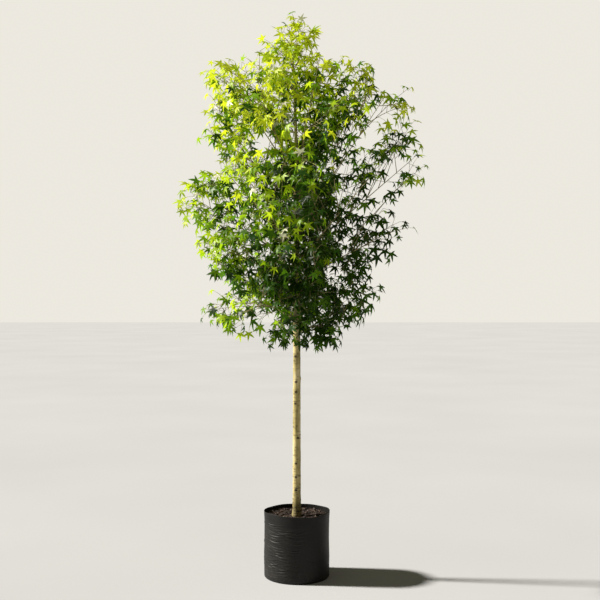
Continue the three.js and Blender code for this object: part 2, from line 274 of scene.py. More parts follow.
def ringed(rings: Array, starts: Array, ends: Array, tints: Array | None = None) -> Surface:
    """Closed bodies from rings of points: quads join ring to ring, and fans close both ends.

    Args:
        rings: n bodies of k rings of s points, n by k by s by 3.
        starts: the middle of each first ring, n by 3.
        ends: the middle of each last ring, n by 3.
        tints: finish number of each body.

    Returns:
        One surface of all the bodies.
    """
    count, rows, sides, _ = rings.shape
    points = np.concatenate([rings.reshape(count, -1, 3), starts[:, None], ends[:, None]], axis=1)
    row, side = np.meshgrid(np.arange(rows - 1), np.arange(sides), indexing="ij")
    here = row * sides + side
    beside = row * sides + (side + 1) % sides
    quads = np.stack([here, beside, beside + sides, here + sides], axis=-1).reshape(-1, 4)
    turn = np.arange(sides)
    after = (turn + 1) % sides
    last = (rows - 1) * sides
    first_fan = np.stack([np.full(sides, rows * sides), after, turn], axis=-1)
    last_fan = np.stack([np.full(sides, rows * sides + 1), last + turn, last + after], axis=-1)
    fans = np.concatenate([first_fan, last_fan])
    offset = (np.arange(count) * points.shape[1])[:, None, None]
    corners = np.concatenate([(quads + offset).ravel(), (fans + offset).ravel()])
    sizes = np.concatenate([np.full(count * len(quads), 4), np.full(count * len(fans), 3)])
    if tints is not None:
        tints = np.concatenate([np.repeat(tints, len(quads)), np.repeat(tints, len(fans))])
    return Surface(points.reshape(-1, 3), corners, sizes, tints)


def limbs(paths: Array, radii: Array, sides: int, tints: Array | None = None) -> Surface:
    """Round limbs: a circle carried along each path.

    A point is the path's point plus the radius times the level direction by the cosine of the turn and the
    over direction by its sine. On a nearly upright limb, the level direction is taken from X.

    Args:
        paths: n paths of k points, n by k by 3.
        radii: radius at each point, n by k, or at each side too, n by k by sides.
        sides: points round a ring.
        tints: finish number of each limb.

    Returns:
        One surface of all the limbs.
    """
    tangents = unit(np.gradient(paths, axis=1))
    steep = np.abs(unit(paths[:, -1] - paths[:, 0])[:, 2:]) > NEARLY_UPRIGHT
    reference = np.where(steep, ALONG_X, UP)[:, None]
    level = unit(np.cross(reference, tangents))
    over = np.cross(tangents, level)
    turn = turns(sides)[:, None]
    reach = (radii[..., None] if radii.ndim == 2 else radii)[..., None]
    outward = np.cos(turn) * level[:, :, None] + np.sin(turn) * over[:, :, None]
    return ringed(paths[:, :, None] + reach * outward, paths[:, 0], paths[:, -1], tints)


class NodeSheet:
    """A material's nodes, with short calls to add and join them."""

    def __init__(self, name: str) -> None:
        """Starts an empty material of that name."""
        self.material = bpy.data.materials.new(name)
        self.material.use_nodes = True
        self.tree = self.material.node_tree
        self.tree.nodes.clear()

    def add(self, kind: str, settings: dict | None = None, **inputs: object) -> bpy.types.Node:
        """Adds a node.

        Args:
            kind: the node's type without the word ShaderNode.
            settings: the node's own properties.
            **inputs: values or output sockets for its inputs, with _ for a space in a name.

        Returns:
            The node.
        """
        node = self.tree.nodes.new("ShaderNode" + kind)
        for key, value in (settings or {}).items():
            setattr(node, key, value)
        for key, value in inputs.items():
            self.put(node, key.replace("_", " "), value)
        return node

    def put(self, node: bpy.types.Node, name: str | int, value: object) -> None:
        """Sets an input to a value or joins it to an output socket."""
        socket = node.inputs[name]
        if isinstance(value, bpy.types.NodeSocket):
            self.tree.links.new(value, socket)
        elif isinstance(value, tuple) and len(value) == 3 and socket.type == "RGBA":
            socket.default_value = (*value, 1.0)
        else:
            socket.default_value = value

    def noise(
        self, scale: float, stretch: Triple = (1, 1, 1), detail: float = 4, rough: float = 0.55
    ) -> Socket:
        """Cloudy pattern on object coordinates.

        Args:
            scale: repeats to the metre.
            stretch: factor along each axis, small for a long grain.
            detail: finer layers.
            rough: strength of the finer layers.

        Returns:
            The pattern's output socket, from 0 to 1.
        """
        place = self.add("TexCoord").outputs["Object"]
        mapped = self.add("Mapping", Vector=place, Scale=stretch).outputs["Vector"]
        return self.add("TexNoise", Vector=mapped, Scale=scale, Detail=detail, Roughness=rough).outputs["Fac"]

    def ramp(self, value: Socket, stops: list[tuple[float, Colour]]) -> Socket:
        """Colour that follows a value.

        Args:
            value: the output socket that drives it.
            stops: places from 0 to 1 with their colours.

        Returns:
            The colour's output socket.
        """
        node = self.add("ValToRGB", Fac=value)
        elements = node.color_ramp.elements
        while len(elements) < len(stops):
            elements.new(0.5)
        for element, (place, colour) in zip(elements, stops):
            element.position = place
            element.color = (*colour, 1.0)
        return node.outputs["Color"]

    def blend(self, share: Socket, low: object, high: object) -> Socket:
        """Mix of two colours by a share."""
        node = self.add("Mix", {"data_type": "RGBA"})
        self.put(node, 0, share)
        self.put(node, 6, low)
        self.put(node, 7, high)
        return node.outputs[2]

    def sums(self, kind: str, first: Socket, second: object) -> Socket:
        """Result of a sum of two values, by the sum's name."""
        node = self.add("Math", {"operation": kind, "use_clamp": True})
        self.put(node, 0, first)
        self.put(node, 1, second)
        return node.outputs[0]

    def mark(self, name: str) -> Socket:
        """Value that the mesh carries at its points under that name."""
        return self.add("Attribute", {"attribute_name": name}).outputs["Fac"]

    def bump(self, height: Socket, strength: float, distance: float) -> Socket:
        """Normal for a fine relief."""
        return self.add("Bump", Height=height, Strength=strength, Distance=distance).outputs["Normal"]

    def clouded(self, value: Socket, dark: str, light: str, limits: Span) -> Socket:
        """Colour between two colour codes that follows a value from one limit to the other."""
        return self.ramp(value, [(limits[0], linear(dark)), (limits[1], linear(light))])

    def close(self, shader: Socket) -> Material:
        """Joins a shader to the output and returns the material."""
        self.add("OutputMaterial", Surface=shader)
        return self.material


@dataclass(frozen=True)
class LeafFinish:
    """A leaf tint: plain colour, with light of a yellower colour passing through the blade."""

    name: str
    colour: str
    through: str
    roughness: float = 0.4
    share_through: float = 0.5
    sheen: float = 0.28

    def build(self) -> Material:
        """Makes the material: a satin surface mixed with a translucent one."""
        sheet = NodeSheet(self.name)
        face = sheet.add("BsdfPrincipled", Base_Color=linear(self.colour), Roughness=self.roughness)
        sheet.put(face, "Specular IOR Level", self.sheen)
        light = sheet.add("BsdfTranslucent", Color=linear(self.through))
        mixed = sheet.add("MixShader", Fac=self.share_through)
        sheet.put(mixed, 1, face.outputs[0])
        sheet.put(mixed, 2, light.outputs[0])
        return sheet.close(mixed.outputs[0])


class Tint(Enum):
    """Leaf tints from the deepest to the palest, dealt out partly as painted light and shade and partly as
    the leaves' own colour.
    """

    SHADE = LeafFinish("leaf_shade_green", "142a06", "3e620a")
    DEEP = LeafFinish("leaf_deep_green", "1d3d09", "558010")
    COOL = LeafFinish("leaf_cool_green", "274f1e", "60901e")
    MIDDLE = LeafFinish("leaf_middle_green", "446e12", "88b214")
    FRESH = LeafFinish("leaf_fresh_green", "78a41a", "aed81a")
    LIME = LeafFinish("leaf_lime", "a4c420", "d0ea24")
    YELLOW = LeafFinish("leaf_young_yellow", "ccdc28", "e6f430")
    PALE = LeafFinish("leaf_pale_back", "d6d6bc", "c0c888", 0.28, 0.12)


@dataclass(frozen=True)
class StalkFinish:
    """Leaf stalks: thin and smooth, flushed from green to yellow."""

    name: str
    dark: str
    light: str
    roughness: float = 0.5
    scale: float = 30.0
    limits: Span = (0.38, 0.62)

    def build(self) -> Material:
        """Makes the material: two colours in soft clouds on a satin surface."""
        sheet = NodeSheet(self.name)
        flush = sheet.clouded(sheet.noise(self.scale, detail=2), self.dark, self.light, self.limits)
        face = sheet.add("BsdfPrincipled", Base_Color=flush, Roughness=self.roughness)
        return sheet.close(face.outputs[0])


@dataclass(frozen=True)
class BarkFinish:
    """Smooth young bark: long streaks, fine pores, and dark scars and painted shade where the mesh is marked.
    """

    name: str
    light: str
    middle: str
    dark: str
    # Dark colour of the marks: scars, rings and notches, and painted shade on the trunk inside the crown
    scar: str = "1d150c"
    grain: float = 26.0
    blotch_grain: float = 0.7
    streak_stretch: Triple = (1, 1, 0.12)
    blotch_stretch: Triple = (1, 1, 0.6)
    streak_share: float = 0.55
    blotch_share: float = 0.45
    limits: Triple = (0.36, 0.5, 0.64)
    pores: float = 420.0
    pore_stretch: Triple = (1, 1, 0.35)
    pore_strength: float = 0.35
    pore_depth: float = 0.0012
    roughness: float = 0.72

    def build(self) -> Material:
        """Makes the material: streaks along the limb, blotches, and the mesh's own dark marks and painted
        shade.
        """
        sheet = NodeSheet(self.name)
        streaks = sheet.noise(self.grain, self.streak_stretch, 5, 0.6)
        blotches = sheet.noise(self.grain * self.blotch_grain, self.blotch_stretch, 3, 0.5)
        streaked = sheet.sums("MULTIPLY", streaks, self.streak_share)
        mixed = sheet.sums("ADD", streaked, sheet.sums("MULTIPLY", blotches, self.blotch_share))
        codes = (self.dark, self.middle, self.light)
        skin = sheet.ramp(mixed, [(limit, linear(code)) for limit, code in zip(self.limits, codes)])
        # The mark darkens the bark for scars, rings and notches, and for painted shade inside the crown
        coloured = sheet.blend(sheet.mark("scar"), skin, linear(self.scar))
        fine = sheet.noise(self.pores, self.pore_stretch, 3, 0.6)
        normal = sheet.bump(fine, self.pore_strength, self.pore_depth)
        face = sheet.add("BsdfPrincipled", Base_Color=coloured, Roughness=self.roughness, Normal=normal)
        return sheet.close(face.outputs[0])


@dataclass(frozen=True)
class PotFinish:
    """Black flexible plastic with grey on its lit side, creases and scuffs, partly dust and partly painted
    sheen.
    """

    name: str = "pot_black_film"
    black: str = "0c0c0b"
    worn: str = "1a1917"
    # Grey of dust and painted sheen
    dust: str = "423f39"
    cloud_scale: float = 9.0
    cloud_stretch: Triple = (1, 1, 1.6)
    cloud_limits: Span = (0.35, 0.7)
    speck_scale: float = 85.0
    speck_stretch: Triple = (1, 1, 2.2)
    speck_limits: Span = (0.4, 0.72)
    grain_scale: float = 240.0
    grain_stretch: Triple = (1, 1, 3)
    grain_strength: float = 0.25
    grain_depth: float = 0.0012
    dull_limits: Span = (0.3, 0.75)
    roughness: Span = (0.5, 0.66)
    sheen: float = 0.26

    def build(self) -> Material:
        """Makes the material: cloudy black, greyed by dust and painted sheen where the mesh is marked, with a
        fine film grain.
        """
        sheet = NodeSheet(self.name)
        clouds = sheet.noise(self.cloud_scale, self.cloud_stretch, 4, 0.6)
        skin = sheet.clouded(clouds, self.black, self.worn, self.cloud_limits)
        specks = sheet.noise(self.speck_scale, self.speck_stretch, 4, 0.7)
        speckled = sheet.clouded(specks, "000000", "ffffff", self.speck_limits)
        broken = sheet.sums("MULTIPLY", sheet.mark("dust"), speckled)
        coloured = sheet.blend(broken, skin, linear(self.dust))
        grain = sheet.noise(self.grain_scale, self.grain_stretch, 4, 0.6)
        normal = sheet.bump(grain, self.grain_strength, self.grain_depth)
        greys = zip(self.dull_limits, self.roughness)
        dull = sheet.ramp(clouds, [(limit, (grey, grey, grey)) for limit, grey in greys])
        face = sheet.add("BsdfPrincipled", Base_Color=coloured, Roughness=dull, Normal=normal)
        sheet.put(face, "Specular IOR Level", self.sheen)
        return sheet.close(face.outputs[0])


@dataclass(frozen=True)
class CompostFinish:
    """Bark compost: one crumb colour clouded with darker and lighter ones."""

    name: str
    dark: str
    light: str
    scale: float = 130.0
    limits: Span = (0.36, 0.64)
    grain_scale: float = 520.0
    grain_strength: float = 0.6
    grain_depth: float = 0.002
    roughness: float = 0.9

    def build(self) -> Material:
        """Makes the material: cloudy brown with a coarse grain."""
        sheet = NodeSheet(self.name)
        clouds = sheet.noise(self.scale, detail=5, rough=0.65)
        skin = sheet.clouded(clouds, self.dark, self.light, self.limits)
        grain = sheet.noise(self.grain_scale, detail=4, rough=0.7)
        normal = sheet.bump(grain, self.grain_strength, self.grain_depth)
        face = sheet.add("BsdfPrincipled", Base_Color=skin, Roughness=self.roughness, Normal=normal)
        return sheet.close(face.outputs[0])


@dataclass(frozen=True)
class FloorFinish:
    """Plain pale floor, hardly clouded."""

    name: str = "floor_pale"
    dark: str = "c1c3c6"
    light: str = "c6c8cb"
    scale: float = 0.4
    limits: Span = (0.3, 0.7)
    roughness: float = 0.9

    def build(self) -> Material:
        """Makes the material: two pale greys in soft clouds."""
        sheet = NodeSheet(self.name)
        skin = sheet.clouded(sheet.noise(self.scale, detail=2), self.dark, self.light, self.limits)
        face = sheet.add("BsdfPrincipled", Base_Color=skin, Roughness=self.roughness)
        sheet.put(face, "Specular IOR Level", 0.0)
        return sheet.close(face.outputs[0])


@dataclass(frozen=True)
class GrowthRule:
    """Where the limbs stand and how far the leaves reach, by the rule of the solids.

    Boughs stand in a spiral up the trunk, low ones nearly level and high ones steep. Each is a quadratic
    curve from the trunk's middle to the tip of its foliage's stem. Pairs are for the lowest and the highest.
    """

    foot: float = 0.3443
    tip: float = 2.92
    lean_from: float = 2.1
    lean_by: float = -0.026
    radius_heights: Numbers = (0, 0.035, 0.11, 0.93, 1.5, 2.15, 2.6)
    radii: Numbers = (0.0275, 0.0242, 0.0226, 0.0202, 0.0145, 0.0085, 0.005)
    crown_heights: Numbers = (
        1.262, 1.38, 1.46, 1.68, 1.94, 2.14, 2.28, 2.7, 2.85, 2.91, 3.01, 3.152,
    )
    crown_left: Numbers = (0.15, 0.43, 0.5, 0.49, 0.62, 0.69, 0.64, 0.48, 0.525, 0.24, 0.19, 0.13)
    crown_right: Numbers = (0.2, 0.43, 0.515, 0.5, 0.65, 0.725, 0.75, 0.63, 0.44, 0.28, 0.14, 0.09)
    boughs: int = 27
    tip_heights: Span = (1.385, 2.905)
    first_turn: float = math.radians(-40)
    rises: Span = (math.radians(10), math.radians(60))
    arches: Span = (0.08, -0.05)
    reach_loss: float = 0.05
    bough_share: float = 0.21
    bough_radii: Span = (0.009, 0.0065)
    bough_taper: float = 0.68
    leaf_reach: float = 0.078
    leaf_hang: float = 0.045
    leader_length: float = 0.14
    leader_lean: float = -0.004

    def climbs(self) -> Array:
        """How far up the crown each bough stands, from 0 to 1."""
        return (np.arange(self.boughs) + 0.5) / self.boughs

    def draws(self) -> Array:
        """One draw from 0 to 1 for each bough: its number spread over 32 bits, then one linear step."""
        state = np.arange(1, self.boughs + 1).astype(np.uint64) * SPREAD_FACTOR & LOW_BITS
        state = state * STEP_FACTOR + STEP_ADDED & LOW_BITS
        return state.astype(float) / 2**32

    def trunk_centre(self, height: Array) -> Array:
        """Trunk's middle at heights: straight, then leaning by the square of the height.

        Args:
            height: heights of any shape.

        Returns:
            Points, with one axis more.
        """
        lean = np.maximum(0, (height - self.lean_from) / (self.tip - self.lean_from))
        return np.stack([self.lean_by * lean**2, np.zeros_like(lean), np.asarray(height, float)], axis=-1)

    def trunk_radius(self, height: Array) -> Array:
        """Trunk's radius at heights above the ground."""
        return np.interp(np.asarray(height) - self.foot, self.radius_heights, self.radii)

    def crown_reach(self, height: Array, turn: Array) -> Array:
        """Reach of the leaves from the trunk: left and right reaches blended by the cosine of the turn."""
        right = (1 + np.cos(turn)) / 2
        on_left = np.interp(height, self.crown_heights, self.crown_left)
        on_right = np.interp(height, self.crown_heights, self.crown_right)
        return on_left + (on_right - on_left) * right

    def bough_lines(self) -> Array:
        """Root, middle and tip of each bough's whole line, n by 3 by 3."""
        climb = self.climbs()
        tip_height = between(self.tip_heights, climb)
        turn = self.first_turn + np.arange(self.boughs) * SPIRAL_TURN
        reach = self.crown_reach(tip_height - self.leaf_hang, turn)
        reach = reach * (1 - self.reach_loss * self.draws()) - self.leaf_reach
        stem_tip = self.trunk_centre(tip_height) + around(reach, turn)
        root = self.trunk_centre(tip_height - reach * np.tan(between(self.rises, climb)))
        arch = between(self.arches, climb) * reach
        middle = (root + stem_tip) / 2 + UP * arch[:, None]
        return np.stack([root, middle, stem_tip], axis=1)

    def leader_line(self) -> Array:
        """Root, middle and tip of the shoot that stands on the trunk's tip, 1 by 3 by 3."""
        root = self.trunk_centre(np.array(self.tip))
        tip = root + np.array([self.leader_lean, 0, self.leader_length])
        return np.stack([root, (root + tip) / 2, tip])[None]

    def from_trunk(self, points: Array) -> tuple[Array, Array]:
        """Distance of points from the trunk's middle at their height, and their turn round it."""
        x, y, _ = np.moveaxis(points - self.trunk_centre(points[..., 2]), -1, 0)
        return np.hypot(x, y), np.arctan2(y, x)

    def depth_in_crown(self, points: Array) -> Array:
        """How far inside the crown's outline points lie, below 0 outside it."""
        distance, turn = self.from_trunk(points)
        inside = self.crown_reach(points[..., 2], turn) - distance
        below = points[..., 2] - self.crown_heights[0]
        above = self.crown_heights[-1] - points[..., 2]
        return np.minimum(inside, np.minimum(below, above))

    def gap_to_trunk(self, points: Array) -> Array:
        """Distance from points to the trunk's bark, large above its tip."""
        gap = self.from_trunk(points)[0] - self.trunk_radius(points[..., 2])
        return np.where(points[..., 2] > self.tip, 1.0, gap)


@dataclass(frozen=True)
class ShootOrder:
    """How shoots of one order stand on their parents.

    Attributes:
        spacing: length of parent for each shoot.
        first: share of the parent below the first one.
        last: share of the parent below the last one.
        angle: angle from the parent.
        share: length as a share of the parent's, at its root.
        loss: part of that share that is lost towards the parent's tip.
        least: shortest length.
        most: longest length.
        lift: rise of the tip, as a share of the length.
        radius: thickest radius at the root.
        heights: foot, middle and top of the stretch of trunk that bears them, if it does.
    """

    spacing: float
    first: float
    last: float
    angle: float
    share: float
    loss: float
    least: float
    most: float
    lift: float
    radius: float
    heights: Triple = (0.0, 0.0, 0.0)


class Rows:
    """Base of dataclasses whose fields are arrays with a row for each thing."""

    def take(self, keep: Array) -> Self:
        """Only the things that are marked to keep."""
        return type(self)(*(getattr(self, name)[keep] for name in self.__dataclass_fields__))

    @classmethod
    def joined(cls, groups: list[Self]) -> Self:
        """Several groups of things as one."""
        names = cls.__dataclass_fields__
        return cls(*(np.concatenate([getattr(group, name) for group in groups]) for name in names))


@dataclass
class Shoots(Rows):
    """Shoots of one order, each a quadratic curve.

    Attributes:
        controls: root, middle and tip of each, n by 3 by 3.
        mass: the mass of foliage that each belongs to.
        spray: the spray that each belongs to.
        radius: radius at each root.
        parent: number of the shoot or bough that each stands on.
        place: share of the parent's line below each root.
    """

    controls: Array
    mass: Array
    spray: Array
    radius: Array
    parent: Array
    place: Array

    def lengths(self) -> Array:
        """Length of each: the mean of its chord and its two legs."""
        legs = np.linalg.norm(np.diff(self.controls, axis=1), axis=-1).sum(axis=1)
        chord = np.linalg.norm(self.controls[:, 2] - self.controls[:, 0], axis=-1)
        return (legs + chord) / 2

    def cut(self, shares: Array) -> Self:
        """Shoots cut off at shares of their length, without those cut at the root.

        A quadratic curve up to a share has the same root, its middle control at that share of the first leg,
        and its tip at the curve's point.

        Args:
            shares: where each is cut, n.

        Returns:
            The shorter shoots.
        """
        root, middle = self.controls[:, 0], self.controls[:, 1]
        tip = curve_points(self.controls, shares[:, None])[:, 0]
        shorter = np.stack([root, root + (middle - root) * shares[:, None], tip], axis=1)
        return replace(self, controls=shorter).take(shares > 0)


@dataclass(frozen=True)
class Opening:
    """Part of the crown with fewer sprays, seen from the front: an upright ellipse and the share left out."""

    x: float
    z: float
    half_width: float
    half_height: float
    share: float


@dataclass(frozen=True)
class LongShoot:
    """A strong side shoot: the number of its bough, with the leader after them, its place and its tip."""

    bough: int
    place: float
    x: float
    y: float
    z: float


@dataclass
class Crown:
    """Growth of the crown: stems, side shoots and fine shoots, by the rule of the solids carried further.

    Side shoots leave their parent at an angle, turned round it by the spiral turn, and are shortened or left
    out where their tips would leave the crown.
    """

    rule: GrowthRule
    seed: int = 7
    room_for_leaf: float = 0.05
    trunk_room: float = 0.02
    shorter: Numbers = (1.0, 0.75, 0.5, 0.3)
    side: ShootOrder = ShootOrder(
        spacing=0.07, first=0.14, last=0.96, angle=math.radians(52), share=0.48,
        loss=0.45, least=0.09, most=0.34, lift=0.16, radius=0.0022,
    )
    fine: ShootOrder = ShootOrder(
        spacing=0.055, first=0.22, last=0.94, angle=math.radians(48), share=0.5,
        loss=0.4, least=0.05, most=0.15, lift=0.12, radius=0.0013,
    )
    spur: ShootOrder = ShootOrder(
        spacing=0.018, first=0.0, last=1.0, angle=math.radians(64), share=0.17,
        loss=0.4, least=0.1, most=0.28, lift=0.18, radius=0.0023, heights=(1.4, 2.13, 2.86),
    )
    crest: ShootOrder = ShootOrder(
        spacing=0.028, first=0.0, last=0.8, angle=math.radians(32), share=0.42,
        loss=0.3, least=0.08, most=0.2, lift=0.2, radius=0.0022, heights=(2.5, 2.73, 2.96),
    )
    skirt: ShootOrder = ShootOrder(
        spacing=0.034, first=0.0, last=1.0, angle=math.radians(80), share=0.75,
        loss=0.2, least=0.12, most=0.26, lift=-0.05, radius=0.0022, heights=(1.34, 1.47, 1.6),
    )
    spur_parent_radius: float = 0.01
    leader_radius: float = 0.005
    strong_arch: float = 0.03
    mass_middle: float = 0.6
    low_share: float = 0.65
    low_fall: Span = (2.0, 1.6)
    place_draw: float = 0.3
    roll_draw: float = 0.25
    angle_draw: float = 0.12
    length_draw: Span = (0.75, 1.15)
    lift_draw: Span = (0.4, 1.4)
    radius_share: float = 0.75
    even_share: float = 0.12
    even_rise: Span = (1.7, 1.9)
    even_outer: Span = (0.12, 0.3)
    core_shift: float = 0.07
    core_rise: Span = (1.5, 1.8)
    core_fall: Span = (2.8, 2.5)
    far_from: float = 0.3
    far_from_right: float = 0.05
    far_width: float = 0.26
    far_share: float = 0.25
    far_share_right: float = 0.3
    far_rise: Span = (1.75, 2.0)
    far_top: Span = (2.65, 2.85)
    far_top_loss: float = 0.25
    strong_share: float = 0.3
    strong_left: float = 0.2
    bough_share: float = 0.8
    opening_edge: Span = (1.1, 0.85)
    # Openings: x, z, half width, half height and the share left out
    openings: tuple[Opening, ...] = tuple(
        Opening(*row)
        for row in (
            (-0.36, 1.49, 0.06, 0.04, 0.9), (-0.25, 1.5, 0.07, 0.04, 0.85), (-0.19, 1.475, 0.06, 0.04, 0.85),
            (-0.21, 1.4, 0.05, 0.05, 0.8), (-0.3, 1.38, 0.05, 0.06, 0.9), (-0.42, 1.6, 0.06, 0.05, 0.8),
            (-0.38, 2.71, 0.05, 0.05, 0.5), (-0.5, 2.62, 0.05, 0.06, 0.7), (-0.38, 2.88, 0.06, 0.05, 0.8),
            (-0.4, 2.25, 0.07, 0.05, 0.7), (-0.006, 2.48, 0.024, 0.08, 0.85), (-0.26, 2.94, 0.075, 0.06, 1.0),
            (-0.17, 3.03, 0.05, 0.05, 1.0), (-0.125, 3.1, 0.045, 0.05, 1.0), (0.26, 2.24, 0.06, 0.06, 0.9),
            (0.16, 2.26, 0.045, 0.045, 0.6), (0.36, 2.16, 0.07, 0.05, 0.85), (-0.5, 2.3, 0.08, 0.08, 0.95),
            (-0.5, 2.05, 0.07, 0.045, 0.95), (-0.21, 1.88, 0.11, 0.09, 0.6), (0.4, 1.71, 0.06, 0.06, 0.8),
            (-0.17, 2.4, 0.065, 0.06, 1.0), (-0.21, 2.46, 0.06, 0.035, 0.7), (-0.25, 2.28, 0.06, 0.05, 0.7),
            (-0.29, 2.16, 0.08, 0.05, 0.75), (0.39, 2.42, 0.07, 0.07, 0.85), (0.45, 2.14, 0.08, 0.055, 0.95),
            (0.3, 2.07, 0.09, 0.12, 0.75), (0.47, 2.02, 0.1, 0.12, 0.6), (0.46, 1.93, 0.06, 0.035, 0.8),
            (0.17, 2.94, 0.06, 0.06, 1.0), (0.48, 2.7, 0.06, 0.07, 0.85), (0.45, 2.55, 0.05, 0.05, 0.9),
            (0.38, 2.63, 0.06, 0.04, 0.8), (0.545, 2.25, 0.09, 0.055, 1.0), (0.5, 2.84, 0.08, 0.08, 1.0),
            (0.48, 1.6, 0.08, 0.09, 0.9), (0.2, 1.67, 0.05, 0.06, 0.6), (0.5, 2.58, 0.04, 0.05, 0.7),
            (0.62, 2.14, 0.05, 0.05, 0.6), (-0.14, 2.35, 0.05, 0.05, 0.8), (0.39, 1.92, 0.05, 0.05, 0.7),
            (-0.15, 1.43, 0.05, 0.06, 0.8), (0.3, 2.47, 0.05, 0.05, 0.6), (0.41, 2.26, 0.04, 0.05, 0.5),
        )
    )
    # Strong shoots: bough, place along it, and the tip's x, y and z
    long_shoots: tuple[LongShoot, ...] = tuple(
        LongShoot(*row)
        for row in (
            (1, 0.4, 0.15, -0.15, 1.335), (1, 0.35, 0.19, -0.12, 1.35), (1, 0.3, 0.1, -0.2, 1.36),
            (1, 0.2, 0.0, -0.14, 1.34), (1, 0.25, 0.05, -0.12, 1.33), (1, 0.5, 0.2, -0.2, 1.31),
            (1, 0.5, 0.21, -0.18, 1.29), (1, 0.55, 0.19, -0.22, 1.3), (1, 0.45, 0.16, -0.2, 1.3),
            (1, 0.35, 0.08, -0.18, 1.3), (1, 0.55, 0.2, -0.16, 1.27), (3, 0.55, -0.475, -0.15, 1.47),
            (3, 0.6, -0.465, -0.1, 1.5), (3, 0.75, -0.4, -0.2, 1.36), (3, 0.7, -0.42, -0.14, 1.38),
            (3, 0.85, -0.28, -0.2, 1.47), (3, 0.4, -0.22, -0.15, 1.4), (3, 0.25, -0.14, -0.16, 1.33),
            (3, 0.2, -0.1, -0.15, 1.3), (3, 0.7, -0.38, -0.16, 1.35), (5, 0.75, -0.41, 0.0, 1.7),
            (5, 0.6, -0.38, -0.1, 1.66), (4, 0.5, 0.26, -0.12, 1.58), (4, 0.6, 0.3, -0.08, 1.6),
            (4, 0.5, 0.27, -0.1, 1.46), (4, 0.75, 0.38, -0.04, 1.47), (6, 0.25, -0.03, -0.14, 1.52),
            (6, 0.35, 0.0, -0.2, 1.62), (6, 0.45, -0.04, -0.26, 1.75), (6, 0.4, -0.03, -0.3, 1.46),
            (6, 0.55, 0.07, -0.36, 1.54), (8, 0.75, -0.44, -0.12, 1.84), (8, 0.6, -0.4, -0.25, 1.95),
            (8, 0.85, -0.42, -0.2, 1.72), (8, 0.65, -0.48, -0.1, 1.84), (8, 0.5, -0.36, -0.2, 1.88),
            (8, 0.55, -0.37, -0.15, 1.78), (8, 0.6, -0.38, -0.18, 1.92), (5, 0.65, -0.4, -0.08, 1.75),
            (9, 0.75, 0.6, -0.12, 1.92), (9, 0.85, 0.55, -0.08, 1.95), (9, 0.6, 0.4, -0.1, 2.0),
            (9, 0.65, 0.42, -0.12, 2.03), (9, 0.7, 0.49, -0.1, 2.05), (9, 0.8, 0.46, -0.12, 1.8),
            (11, 0.4, -0.02, -0.25, 1.9), (11, 0.5, 0.0, -0.35, 2.02), (12, 0.9, 0.665, -0.02, 2.25),
            (12, 0.85, 0.69, -0.04, 2.26), (13, 0.7, -0.55, 0.0, 2.17), (13, 0.75, -0.6, -0.05, 2.04),
            (13, 0.5, -0.45, -0.12, 2.15), (13, 0.65, -0.52, -0.08, 2.14), (13, 0.8, -0.61, -0.05, 2.06),
            (13, 0.6, -0.48, -0.02, 2.18), (13, 0.6, -0.5, -0.1, 2.0), (14, 0.35, 0.02, -0.2, 2.1),
            (14, 0.5, 0.03, -0.33, 2.2), (14, 0.6, 0.17, -0.3, 2.33), (15, 0.8, 0.06, 0.655, 2.21),
            (15, 0.7, 0.14, 0.64, 2.15), (15, 0.75, -0.04, 0.64, 2.27), (16, 0.55, -0.29, -0.2, 2.42),
            (17, 0.45, 0.56, -0.1, 2.46), (17, 0.7, 0.53, -0.08, 2.34), (17, 0.6, 0.5, -0.1, 2.33),
            (17, 0.75, 0.56, -0.06, 2.37), (17, 0.5, 0.42, -0.1, 2.36), (17, 0.45, 0.38, -0.08, 2.27),
            (17, 0.6, 0.62, -0.08, 2.48), (21, 0.6, -0.45, 0.02, 2.55), (21, 0.75, -0.46, -0.12, 2.63),
            (21, 0.5, -0.33, -0.14, 2.61), (21, 0.5, -0.5, -0.05, 2.43), (21, 0.4, -0.34, -0.15, 2.52),
            (24, 0.5, -0.27, -0.2, 2.6), (22, 0.7, 0.6, -0.14, 2.67), (22, 0.8, 0.59, -0.12, 2.58),
            (22, 0.5, 0.42, -0.12, 2.67), (24, 0.7, -0.41, -0.22, 2.73), (25, 0.5, 0.24, -0.08, 2.83),
            (25, 0.85, 0.38, -0.1, 2.8), (25, 0.8, 0.43, -0.08, 2.74), (25, 0.5, 0.28, -0.12, 2.67),
            (25, 0.35, 0.2, -0.12, 2.7), (25, 0.75, 0.36, -0.1, 2.82), (26, 0.75, -0.46, -0.02, 2.77),
            (26, 0.85, -0.49, -0.02, 2.79), (26, 0.5, -0.3, -0.06, 2.86), (24, 0.8, -0.43, -0.2, 2.79),
            (28, 0.05, 0.08, -0.06, 2.95), (28, 0.1, 0.07, -0.03, 3.04), (28, 0.3, 0.1, 0.0, 3.035),
            (28, 0.35, 0.08, -0.04, 3.0), (28, 0.2, 0.09, -0.06, 2.97), (28, 0.05, -0.06, -0.08, 2.93),
            (28, 0.05, -0.03, -0.12, 2.93), (28, 0.08, 0.05, -0.1, 2.95), (28, 0.05, -0.1, -0.1, 2.9),
            (28, 0.0, -0.13, -0.08, 2.84), (26, 0.3, -0.15, -0.1, 2.87), (28, 0.8, -0.03, -0.02, 3.045),
            (28, 0.1, -0.08, -0.04, 2.97), (28, 0.55, -0.07, -0.03, 3.07), (28, 0.9, 0.005, -0.02, 3.085),
        )
    )

